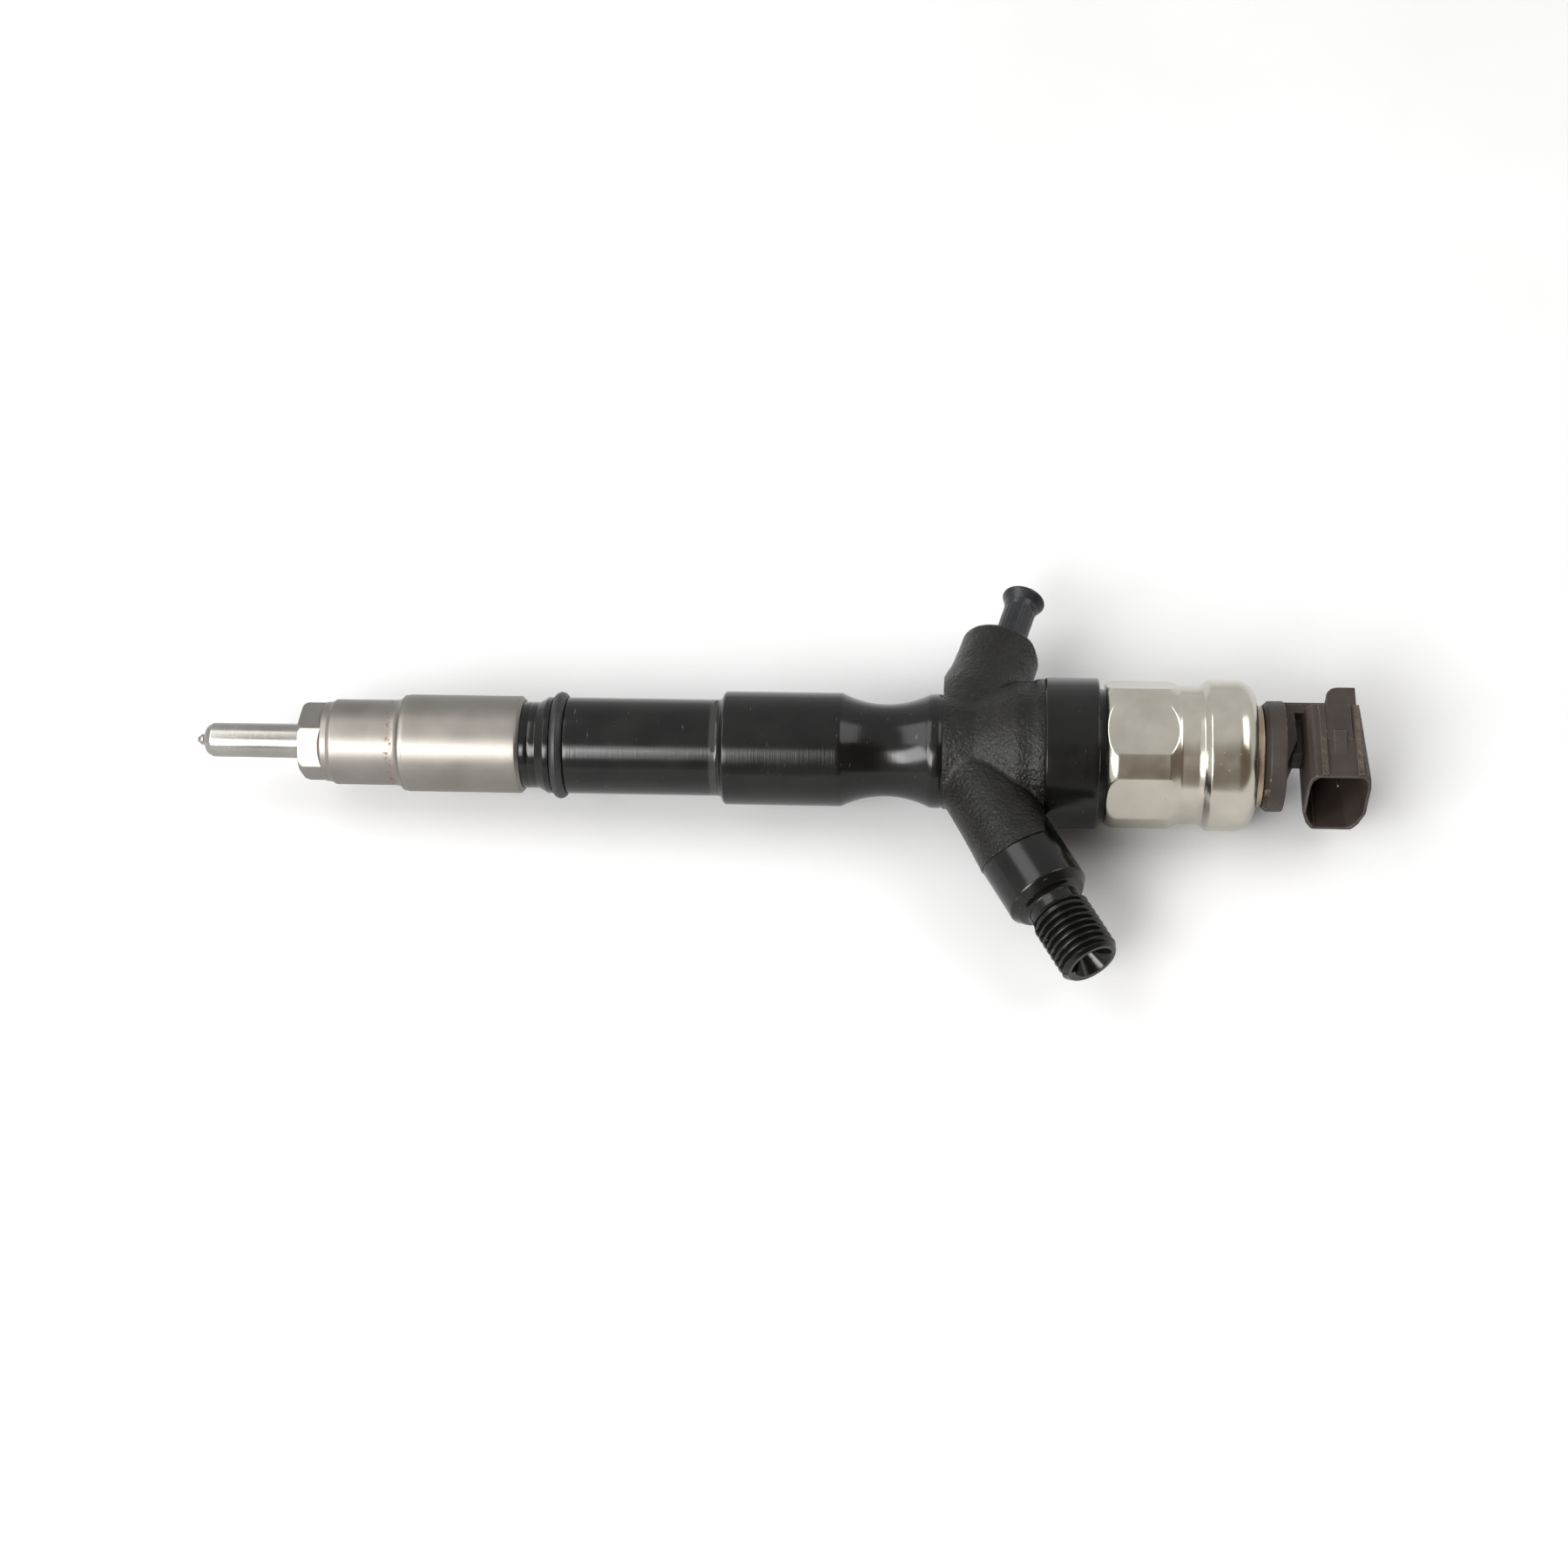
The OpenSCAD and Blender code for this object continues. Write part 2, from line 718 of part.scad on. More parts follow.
module connector_housing() {
    color(moulding) difference() {
        union() {
            turned([[0, flange_x], [flange_d / 2 - 0.9, flange_x], [flange_d / 2, flange_x + 1],
                    [flange_d / 2, flange_end_x - 0.2], [flange_d / 2 - 0.2, flange_end_x],
                    [0, flange_end_x]]);
            bridge();
            difference() {
                socket_prism(0, rim_y, socket_top_y);
                side_draft();
            }
            translate([socket_x - 4, socket_top_y - 1, -5]) cube([7, 2.9, 10]);
            latch_block();
            socket_trim();
        }
        difference() {
            socket_prism(-socket_wall, rim_y - 1, floor_y);
            translate([-socket_wall, 0, 0]) side_draft();
        }
        contact_path();
        terminal_pins();
    }
}

// The two blade pins in the socket
module terminal_pins() {
    for (side = [-1, 1])
        translate([latch_x - pin_w / 2, pin_tip_y, side * pin_pitch / 2 - pin_w / 2])
            cube([pin_w, pin_back_y - pin_tip_y, pin_w]);
}

module connector_terminals() {
    color(nickel) terminal_pins();
}

// The two leads, from the winding to the back of the pins
module contact_path() {
    for (side = [-1, 1]) {
        translate([182.9, -lead_w / 2, side * lead_z - lead_t / 2])
            cube([flange_x + 1.2 - 182.9, lead_w, lead_t]);
        translate([flange_x + 0.6, -lead_w / 2, side > 0 ? 1.3 : -lead_z - lead_t / 2])
            cube([lead_t, lead_w, lead_z + lead_t / 2 - 1.3]);
        translate([flange_x + 0.6, -lead_w / 2, side * 1.6 - lead_t / 2])
            cube([3.6, lead_w, lead_t]);
        translate([flange_end_x - 0.5, -lead_w / 2, side * 1.6 - lead_t / 2])
            cube([lead_t, pin_back_y + lead_w / 2, lead_t]);
        translate([flange_end_x - 0.5, pin_back_y - lead_w, side * 1.6 - lead_t / 2])
            cube([latch_x + 0.8 - flange_end_x, lead_w, lead_t]);
    }
}

module contact_strips() {
    color(brass) difference() {
        contact_path();
        terminal_pins();
    }
}

// ---------------------------------------------------------------- assembly

nozzle_body();
nozzle_needle();
nozzle_nut();
distance_plate();
nozzle_dowels();
pressure_pin();
nozzle_spring();
spring_shim();
injector_body();
body_o_ring();
command_piston();
valve_body();
valve_seal_ring();
valve_clamp_nut();
valve_ball();
ball_cup();
armature_pin();
armature_plate();
armature_guide();
lift_shim();
valve_spring();
spring_cap();
solenoid_core();
coil_bobbin();
coil_winding();
solenoid_shell();
solenoid_o_ring();
solenoid_nut();
end_plate();
connector_housing();
connector_terminals();
contact_strips();
inlet_filter();
leak_off_plug();
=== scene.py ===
import math

import bmesh
import bpy
from mathutils import Matrix, Vector, noise


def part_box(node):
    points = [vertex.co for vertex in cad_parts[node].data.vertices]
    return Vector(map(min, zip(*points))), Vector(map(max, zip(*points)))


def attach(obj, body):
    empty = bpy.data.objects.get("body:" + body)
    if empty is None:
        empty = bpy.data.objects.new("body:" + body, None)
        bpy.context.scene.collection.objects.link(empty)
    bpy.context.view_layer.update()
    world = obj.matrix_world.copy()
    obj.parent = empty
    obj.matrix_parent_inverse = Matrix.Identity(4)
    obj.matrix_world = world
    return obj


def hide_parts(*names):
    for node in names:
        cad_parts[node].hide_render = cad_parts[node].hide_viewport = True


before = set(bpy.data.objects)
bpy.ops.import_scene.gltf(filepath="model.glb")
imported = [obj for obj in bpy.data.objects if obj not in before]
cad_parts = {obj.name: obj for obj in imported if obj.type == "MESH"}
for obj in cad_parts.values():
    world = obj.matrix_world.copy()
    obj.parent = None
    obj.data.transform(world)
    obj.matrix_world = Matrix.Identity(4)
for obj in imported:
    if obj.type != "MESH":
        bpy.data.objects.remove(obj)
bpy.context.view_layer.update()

# Lengths below are in millimetres, in the CAD's frame, and become metres when a mesh is made.
MM = 0.001

# The two forged arms: where their axes cross X, and how far they lean from it, in degrees
INLET_X, INLET_LEAN = 131.8, -61.2
PORT_X, PORT_LEAN = 134.9, 74.7


def span(node):
    """Lowest and highest X of a CAD node, in millimetres."""
    low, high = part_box(node)
    return low.x / MM, high.x / MM


def along(x, lean):
    """The frame of an arm that leaves the X axis at x: its own X runs out along the arm."""
    return Matrix.Translation((x, 0, 0)) @ Matrix.Rotation(math.radians(lean), 4, "Z")


MAIN = Matrix.Identity(4)
INLET = along(INLET_X, INLET_LEAN)
PORT = along(PORT_X, PORT_LEAN)

_, NUT_END = span("nozzle_nut")
BODY_END = span("injector_body")[1]
SOLENOID_START, SOLENOID_END = span("solenoid_nut")
PLATE_END = span("end_plate")[1]
HOUSING_START = span("connector_housing")[0]


# ---------------------------------------------------------------- mesh helpers

def arc(x, r, radius, start, end, steps=8):
    """Points (x, r) of an arc about a centre, between two angles measured from +X towards +r."""
    return [
        (x + radius * math.cos(math.radians(start + (end - start) * i / steps)),
         r + radius * math.sin(math.radians(start + (end - start) * i / steps)))
        for i in range(steps + 1)
    ]


def rounded(points, steps=5):
    """An outline of (x, r) or (x, r, corner radius) points, with an arc at each corner that has a radius."""
    out = [tuple(points[0][:2])]
    for before, here, after in zip(points, points[1:], points[2:]):
        p = Vector(here[:2])
        if len(here) < 3:
            out.append(tuple(p))
            continue
        u, v = Vector(before[:2]) - p, Vector(after[:2]) - p
        half = u.angle(v) / 2
        cut = min(here[2] / math.tan(half), u.length * 0.48, v.length * 0.48)
        a, b = p + u.normalized() * cut, p + v.normalized() * cut
        for i in range(steps + 1):
            t = i / steps
            out.append(tuple((1 - t) ** 2 * a + 2 * t * (1 - t) * p + t * t * b))
    out.append(tuple(points[-1][:2]))
    return out


def fine(points, step):
    """The same outline with its long stretches divided."""
    out = [points[0]]
    for a, b in zip(points, points[1:]):
        n = max(1, math.ceil(math.dist(a, b) / step))
        out += [(a[0] + (b[0] - a[0]) * i / n, a[1] + (b[1] - a[1]) * i / n) for i in range(1, n + 1)]
    return out


def turned(outline, sides=144, shape=None, place=MAIN, lead=0.0):
    """Vertices and faces of a turned shell about local X. shape(x, r, angle) may change the radius,
    and lead moves each ring along X by that much per turn, so that a thread's grid follows its helix."""
    verts, rows, faces = [], [], []
    for x, r in outline:
        if r < 1e-6:
            rows.append([len(verts)] * sides)
            verts.append(place @ Vector((x, 0, 0)) * MM)
            continue
        row = []
        for i in range(sides):
            a = 2 * math.pi * i / sides
            along_x = x + lead * i / sides
            rr = shape(along_x, r, a) if shape else r
            row.append(len(verts))
            verts.append(place @ Vector((along_x, -rr * math.cos(a), rr * math.sin(a))) * MM)
        rows.append(row)
    for one, two in zip(rows, rows[1:]):
        for i in range(sides):
            k = (i + 1) % sides
            ring = [one[i], one[k], two[k], two[i]]
            ring = [v for n, v in enumerate(ring) if v not in ring[:n]]
            if len(ring) > 2:
                faces.append(ring)
    return verts, faces


def loft(sections, place=MAIN):
    """Vertices and faces of a closed solid through sections, each a list of 3-D points of equal number."""
    n = len(sections[0])
    verts = [place @ Vector(p) * MM for s in sections for p in s]
    faces = [list(range(n)), [(len(sections) - 1) * n + i for i in reversed(range(n))]]
    for j in range(len(sections) - 1):
        for i in range(n):
            k = (i + 1) % n
            faces.append([j * n + k, j * n + i, (j + 1) * n + i, (j + 1) * n + k])
    return verts, faces


def block(low, high):
    """A box between two corners."""
    (x0, y0, z0), (x1, y1, z1) = low, high
    return loft([[(x, y0, z0), (x, y1, z0), (x, y1, z1), (x, y0, z1)] for x in (x0, x1)])


def prism(outline, low, high):
    """A prism along Z of an outline in X and Y."""
    return loft([[(x, y, z) for x, y in outline] for z in (low, high)])


def solid(name, *shells):
    """One object from several shells, with its normals outward."""
    mesh = bpy.data.meshes.new(name)
    verts, faces = [], []
    for v, f in shells:
        faces += [[i + len(verts) for i in face] for face in f]
        verts += v
    mesh.from_pydata(verts, [], faces)
    obj = bpy.data.objects.new(name, mesh)
    bpy.context.scene.collection.objects.link(obj)
    edit(obj, lambda bm: bmesh.ops.recalc_face_normals(bm, faces=bm.faces))
    return obj


def edit(obj, change):
    """Runs a change on an object's mesh through bmesh."""
    bm = bmesh.new()
    bm.from_mesh(obj.data)
    change(bm)
    bm.to_mesh(obj.data)
    bm.free()


def applied(obj, kind, **settings):
    """Adds a modifier with these settings and makes it part of the mesh."""
    modifier = obj.modifiers.new(kind.lower(), kind)
    for key, value in settings.items():
        setattr(modifier, key, value)
    view = bpy.context.evaluated_depsgraph_get()
    mesh = bpy.data.meshes.new_from_object(obj.evaluated_get(view))
    old = obj.data
    obj.modifiers.clear()
    obj.data = mesh
    bpy.data.meshes.remove(old)
    return obj


def fused(obj, voxel):
    """Overlapping shells become one closed skin."""
    return applied(obj, "REMESH", mode="VOXEL", voxel_size=voxel * MM)


def softened(obj, times, factor=0.5):
    return applied(obj, "SMOOTH", iterations=times, factor=factor)


def cut(obj, point, normal):
    """Cuts away what lies beyond a plane, and closes the cut."""
    def change(bm):
        where = bm.verts[:] + bm.edges[:] + bm.faces[:]
        done = bmesh.ops.bisect_plane(
            bm, geom=where, plane_co=Vector(point) * MM, plane_no=Vector(normal), clear_outer=True
        )
        rim = [e for e in done["geom_cut"] if isinstance(e, bmesh.types.BMEdge)]
        bmesh.ops.edgeloop_fill(bm, edges=rim)
    edit(obj, change)
    return obj


def joined(name, *objs):
    """Several objects as one, with their materials kept."""
    bpy.ops.object.select_all(action="DESELECT")
    for o in objs:
        o.select_set(True)
    bpy.context.view_layer.objects.active = objs[0]
    bpy.ops.object.join()
    objs[0].name = name
    objs[0].data.name = name
    return objs[0]


def paint(obj, material):
    obj.data.materials.clear()
    obj.data.materials.append(material)
    return obj


def shaded(obj, crease=35):
    """Smooth shading, with edges sharper than the crease angle kept sharp."""
    obj.data.shade_smooth()
    obj.data.set_sharp_from_angle(angle=math.radians(crease))
    return obj


def piece(obj, node, body="injector"):
    """Puts a finished piece in place of its CAD node."""
    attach(obj, body)
    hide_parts(node)
    return obj


def hexagon(flats, elevation, ease=0.12):
    """A shape function that trims a turned shell to six flats, one facing the elevation above -Y."""
    def shape(x, r, angle):
        turn = (math.degrees(angle) - elevation + 30) % 60 - 30
        flat = flats / 2 / math.cos(math.radians(turn))
        gap = flat - r
        return (flat + r - math.sqrt(gap * gap + ease * ease)) / 2 + ease * 0.02
    return shape


# ---------------------------------------------------------------- finishes

class Finish:
    """One procedural material, and short calls for the nodes that the finishes share."""

    def __init__(self, name, **sockets):
        self.material = bpy.data.materials.new(name)
        self.material.use_nodes = True
        self.tree = self.material.node_tree
        self.shader = self.tree.nodes["Principled BSDF"]
        for key, value in sockets.items():
            self.shader.inputs[key.replace("_", " ")].default_value = value
        self.space = self.add("ShaderNodeTexCoord").outputs["Object"]
        self.heights = []

    def add(self, kind, inputs=(), **settings):
        node = self.tree.nodes.new(kind)
        for key, value in settings.items():
            setattr(node, key, value)
        for key, value in dict(inputs).items():
            if isinstance(value, bpy.types.NodeSocket):
                self.tree.links.new(value, node.inputs[key])
            else:
                node.inputs[key].default_value = value
        return node

    def turn(self, lean):
        """From here on, patterns follow an arm that leans this many degrees from X."""
        self.space = self.add(
            "ShaderNodeMapping", {"Vector": self.space, "Rotation": (0, 0, math.radians(-lean))}
        ).outputs[0]

    def speckle(self, size, detail=2.0, stretch=(1, 1, 1), rough=0.5):
        """Noise whose grains are about this many millimetres across."""
        scale = [1 / (size * MM * s) for s in stretch]
        place = self.add("ShaderNodeMapping", {"Vector": self.space, "Scale": scale}).outputs[0]
        return self.add(
            "ShaderNodeTexNoise", {"Vector": place, "Scale": 1.0, "Detail": detail, "Roughness": rough}
        ).outputs["Fac"]

    def rings(self, size, detail=1.0):
        """Turning marks: noise that changes only along X."""
        x = self.add("ShaderNodeSeparateXYZ", {"Vector": self.space}).outputs["X"]
        steps = self.math("MULTIPLY", x, 1 / (size * MM))
        return self.add(
            "ShaderNodeTexNoise", {"W": steps, "Scale": 1.0, "Detail": detail}, noise_dimensions="1D"
        ).outputs["Fac"]

    def pits(self, size):
        """Cells with a deep middle."""
        place = self.add("ShaderNodeMapping", {"Vector": self.space, "Scale": [1 / (size * MM)] * 3}).outputs[0]
        return self.add("ShaderNodeTexVoronoi", {"Vector": place, "Scale": 1.0}).outputs["Distance"]

    def math(self, operation, a, b):
        return self.add("ShaderNodeMath", {0: a, 1: b}, operation=operation).outputs[0]

    def spread(self, value, low, high, to_low, to_high):
        """Maps a value's range to another, without going past its ends."""
        return self.add(
            "ShaderNodeMapRange",
            {"Value": value, "From Min": low, "From Max": high, "To Min": to_low, "To Max": to_high},
        ).outputs["Result"]

    def edge(self, low, high):
        """0 on flats and 1 along edges that stand out."""
        point = self.add("ShaderNodeNewGeometry").outputs["Pointiness"]
        return self.spread(point, low, high, 0, 1)

    def mix(self, factor, a, b):
        return self.add(
            "ShaderNodeMix", {0: factor, 6: a, 7: b}, data_type="RGBA", blend_type="MIX"
        ).outputs[2]

    def colour(self, value):
        self.tree.links.new(value, self.shader.inputs["Base Color"])

    def roughness(self, value):
        self.tree.links.new(value, self.shader.inputs["Roughness"])

    def raise_by(self, height, depth, strength=1.0):
        """Adds a relief of this depth in millimetres."""
        self.heights.append((height, depth, strength))

    def done(self):
        normal = None
        for height, depth, strength in self.heights:
            inputs = {"Height": height, "Distance": depth * MM, "Strength": strength}
            if normal is not None:
                inputs["Normal"] = normal
            normal = self.add("ShaderNodeBump", inputs).outputs["Normal"]
        if normal is not None:
            self.tree.links.new(normal, self.shader.inputs["Normal"])
        return self.material


def rgb(r, g, b):
    return (r, g, b, 1.0)


def metal(name, light, dark, rough, grooves, lean=0.0, mark=0.35, groove_size=0.3, wear=None):
    """A turned metal: fine rings, soft stains, and thin scratches."""
    f = Finish(name, Metallic=1.0)
    f.turn(lean)
    stain = f.speckle(7, 3)
    shade = f.mix(f.spread(stain, 0.35, 0.65, 0, 1), rgb(*dark), rgb(*light))
    marks = f.spread(f.rings(groove_size * 3, 2), 0.4, 0.6, 0, mark)
    shade = f.mix(marks, shade, rgb(*dark))
    if wear:
        shade = f.mix(f.edge(0.515, 0.56), shade, rgb(*wear))
    f.colour(shade)
    fleck = f.spread(f.speckle(0.6, 3, (6, 1, 1)), 0.62, 0.72, 0, 0.12)
    f.roughness(f.math("ADD", f.spread(stain, 0.3, 0.7, rough - 0.04, rough + 0.05), fleck))
    f.raise_by(f.rings(groove_size, 1), grooves)
    f.raise_by(f.rings(groove_size * 5, 2), grooves * 2.5)
    f.raise_by(f.speckle(1.5, 2), grooves * 1.2)
    return f.done()


def nozzle_steel():
    return metal("nozzle_steel", (0.31, 0.30, 0.278), (0.26, 0.25, 0.228), 0.24, 0.004)


def nut_steel():
    """The nozzle nut: satin, warm grey, with specks of rust in the corner of its step."""
    f = Finish("nut_steel", Metallic=1.0)
    stain = f.speckle(9, 3)
    shade = f.mix(f.spread(stain, 0.35, 0.65, 0, 1), rgb(0.19, 0.177, 0.158), rgb(0.222, 0.209, 0.189))
    x = f.add("ShaderNodeSeparateXYZ", {"Vector": f.space}).outputs["X"]
    before = f.spread(x, 0.0176, 0.0184, 0, 1)
    after = f.spread(x, 0.0192, 0.0197, 1, 0)
    speck = f.spread(f.speckle(0.7, 3), 0.56, 0.64, 0, 1)
    rust = f.math("MULTIPLY", f.math("MULTIPLY", before, after), speck)
    f.colour(f.mix(f.math("MULTIPLY", rust, 0.75), shade, rgb(0.22, 0.10, 0.055)))
    f.roughness(f.math("ADD", f.spread(stain, 0.3, 0.7, 0.40, 0.47), f.math("MULTIPLY", rust, 0.3)))
    f.raise_by(f.rings(0.22, 1), 0.006)
    f.raise_by(f.rings(1.0, 2), 0.008)
    f.raise_by(f.speckle(0.35, 3), 0.006)
    return f.done()


def oxide(name, lean=0.0):
    """Black oxide on turned steel: near black and satin, with rings and pale scratches."""
    f = Finish(name, Specular_IOR_Level=0.285)
    f.turn(lean)
    stain = f.speckle(8, 3)
    shade = f.mix(f.spread(stain, 0.35, 0.65, 0, 1), rgb(0.0020, 0.0020, 0.0018), rgb(0.0042, 0.0042, 0.0038))
    nick = f.spread(f.speckle(0.55, 2, (1, 5, 5)), 0.725, 0.77, 0, 0.5)
    shade = f.mix(nick, shade, rgb(0.08, 0.08, 0.08))
    shade = f.mix(f.edge(0.53, 0.60), shade, rgb(0.022, 0.022, 0.021))
    f.colour(shade)
    f.roughness(f.spread(stain, 0.3, 0.7, 0.15, 0.21))
    f.raise_by(f.rings(0.2, 1), 0.006)
    f.raise_by(f.rings(0.7, 2), 0.007)
    f.raise_by(f.speckle(1.2, 2), 0.003)
    return f.done()


def forging():
    """The black forged head: sandy skin, with pale specks painted on the high spots of its grain as glints (painted
    highlight).
    """
    f = Finish("forging", Specular_IOR_Level=0.22)
    grain = f.speckle(0.7, 4, rough=0.6)
    broad = f.speckle(6, 3)
    shade = f.mix(f.spread(broad, 0.35, 0.65, 0, 1), rgb(0.0026, 0.0024, 0.0020), rgb(0.0052, 0.0048, 0.0040))
    # Pale specks on the grain's high spots: painted glints, a painted highlight in the colour
    shade = f.mix(f.spread(grain, 0.60, 0.74, 0, 0.4), shade, rgb(0.020, 0.019, 0.017))
    f.colour(shade)
    f.roughness(f.spread(grain, 0.35, 0.7, 0.29, 0.15))
    f.raise_by(f.speckle(1.6, 2), 0.06)
    f.raise_by(grain, 0.30)
    f.raise_by(f.pits(0.6), 0.04)
    f.raise_by(f.speckle(0.2, 2), 0.012)
    return f.done()


def nickel():
    """Plated nut: warm, satin, with faint blotches and handling marks."""
    f = Finish("nickel", Metallic=1.0)
    stain = f.speckle(6, 3)
    shade = f.mix(f.spread(stain, 0.35, 0.65, 0, 1), rgb(0.43, 0.405, 0.345), rgb(0.485, 0.46, 0.395))
    spot = f.spread(f.speckle(0.8, 2), 0.72, 0.78, 0, 0.6)
    f.colour(f.mix(spot, shade, rgb(0.40, 0.33, 0.25)))
    f.roughness(f.math("ADD", f.spread(stain, 0.3, 0.7, 0.17, 0.23), f.math("MULTIPLY", spot, 0.3)))
    f.raise_by(f.speckle(1.1, 3), 0.006)
    f.raise_by(f.speckle(0.25, 2), 0.003)
    return f.done()


def plate():
    """Thin plated disc with a tan tint."""
    f = Finish("tinned_plate", Metallic=1.0)
    stain = f.speckle(4, 3)
    f.colour(f.mix(f.spread(stain, 0.35, 0.65, 0, 1), rgb(0.26, 0.205, 0.145), rgb(0.36, 0.30, 0.22)))
    f.roughness(f.spread(f.speckle(0.5, 3), 0.3, 0.7, 0.30, 0.45))
    f.raise_by(f.rings(0.2, 1), 0.004)
    f.raise_by(f.speckle(0.5, 3), 0.006)
    return f.done()


def moulding():
    """Grey-brown glass-filled plastic."""
    f = Finish("grey_brown_moulding", Specular_IOR_Level=0.26)
    broad = f.speckle(5, 3)
    shade = f.mix(f.spread(broad, 0.35, 0.65, 0, 1), rgb(0.0215, 0.0158, 0.0130), rgb(0.029, 0.0215, 0.0180))
    shade = f.mix(f.spread(f.speckle(0.3, 3), 0.6, 0.75, 0, 0.35), shade, rgb(0.050, 0.038, 0.031))
    shade = f.mix(f.edge(0.515, 0.57), shade, rgb(0.135, 0.098, 0.075))
    f.colour(shade)
    f.roughness(f.spread(f.speckle(0.8, 3), 0.3, 0.7, 0.42, 0.56))
    f.raise_by(f.speckle(0.25, 3), 0.012)
    f.raise_by(f.speckle(1.5, 2), 0.02)
    return f.done()


def rubber():
    f = Finish("black_rubber", Specular_IOR_Level=0.45)
    f.colour(f.mix(f.spread(f.speckle(1.2, 3), 0.35, 0.65, 0, 1), rgb(0.003, 0.0033, 0.004), rgb(0.007, 0.0074, 0.0085)))
    f.roughness(f.spread(f.speckle(0.6, 3), 0.3, 0.7, 0.38, 0.55))
    f.raise_by(f.speckle(0.3, 3), 0.012)
    return f.done()


def plug_plastic():
    f = Finish("plug_plastic", Specular_IOR_Level=0.38)
    f.turn(PORT_LEAN)
    wear = f.spread(f.speckle(0.9, 3), 0.58, 0.7, 0, 0.7)
    f.colour(f.mix(wear, rgb(0.005, 0.0056, 0.0072), rgb(0.018, 0.0195, 0.024)))
    f.roughness(f.spread(f.speckle(1.2, 3), 0.3, 0.7, 0.28, 0.42))
    f.raise_by(f.speckle(0.5, 3, (8, 1, 1)), 0.03)
    return f.done()


def tin():
    f = Finish("tin", Metallic=1.0)
    f.colour(f.mix(f.spread(f.speckle(0.8, 3), 0.35, 0.65, 0, 1), rgb(0.62, 0.58, 0.48), rgb(0.80, 0.77, 0.68)))
    f.roughness(f.spread(f.speckle(0.3, 2), 0.3, 0.7, 0.22, 0.34))
    f.raise_by(f.speckle(0.2, 2), 0.004)
    return f.done()


def copper(name, light, dark):
    f = Finish(name, Metallic=1.0)
    f.colour(f.mix(f.spread(f.speckle(1.5, 3), 0.35, 0.65, 0, 1), rgb(*dark), rgb(*light)))
    f.roughness(f.spread(f.speckle(0.5, 2), 0.3, 0.7, 0.25, 0.4))
    f.raise_by(f.rings(0.35, 0), 0.05)
    return f.done()


def bobbin_plastic():
    f = Finish("bobbin_plastic", Specular_IOR_Level=0.4)
    f.colour(f.mix(f.spread(f.speckle(1.5, 3), 0.35, 0.65, 0, 1), rgb(0.03, 0.026, 0.022), rgb(0.06, 0.052, 0.045)))
    f.roughness(f.spread(f.speckle(0.5, 2), 0.3, 0.7, 0.4, 0.55))
    f.raise_by(f.speckle(0.3, 2), 0.01)
    return f.done()


FINISHES = {
    "nozzle_steel": nozzle_steel(),
    "needle_steel": metal("needle_steel", (0.70, 0.69, 0.66), (0.58, 0.57, 0.54), 0.12, 0.002),
    "nut_steel": nut_steel(),
    "ground_steel": metal("ground_steel", (0.56, 0.55, 0.52), (0.44, 0.43, 0.41), 0.24, 0.004),
    "spring_steel": metal("spring_steel", (0.34, 0.34, 0.35), (0.22, 0.22, 0.24), 0.30, 0.004),
    "black_oxide": oxide("black_oxide"),
    "black_oxide_arm": oxide("black_oxide_arm", INLET_LEAN),
    "forging": forging(),
    "black_rubber": rubber(),
    "copper": copper("copper", (0.80, 0.42, 0.27), (0.62, 0.29, 0.17)),
    "magnet_iron": metal("magnet_iron", (0.30, 0.29, 0.28), (0.20, 0.195, 0.19), 0.36, 0.006),
    "bobbin_plastic": bobbin_plastic(),
    "winding_copper": copper("winding_copper", (0.72, 0.32, 0.15), (0.50, 0.19, 0.08)),
    "nickel": nickel(),
    "tinned_plate": plate(),
    "grey_brown_moulding": moulding(),
    "tin": tin(),
    "plug_plastic": plug_plastic(),
}


# ---------------------------------------------------------------- nozzle and its nut

def nozzle_body():
    """Bright stem with a small rounded nose and its spray holes."""
    start, _ = span("nozzle_body")
    stem_r, shoulder = 3.5, -19.0
    outline = rounded([
        (start, 0), (start, 0.5, 0.4), (start + 0.8, 1.08, 0.4), (start + 1.3, 1.2, 0.25),
        (shoulder - 1.0, 2.9, 0.7), (shoulder + 0.15, stem_r, 0.7), (shoulder + 6, stem_r), (-0.05, stem_r),
    ], 8) + [(0.1, stem_r - 0.1), (6, stem_r - 0.1), (6, 0)]
    obj = solid("nozzle_body_skin", turned(fine(outline, 1.2), 128))
    holes, count = [], 7
    for i in range(count):
        lean = Matrix.Rotation(2 * math.pi * i / count, 4, "X") @ Matrix.Translation((start + 1.4, -0.2, 0))
        lean = lean @ Matrix.Rotation(math.radians(-112.6), 4, "Z")
        holes.append(turned([(0.8, 0), (0.8, 0.1), (2.2, 0.1), (2.2, 0)], 12, place=lean))
    drills = solid("drills", *holes)
    applied(obj, "BOOLEAN", operation="DIFFERENCE", object=drills, solver="MANIFOLD")
    bpy.data.objects.remove(drills)
    return piece(paint(shaded(obj), FINISHES["nozzle_steel"]), "nozzle_body")


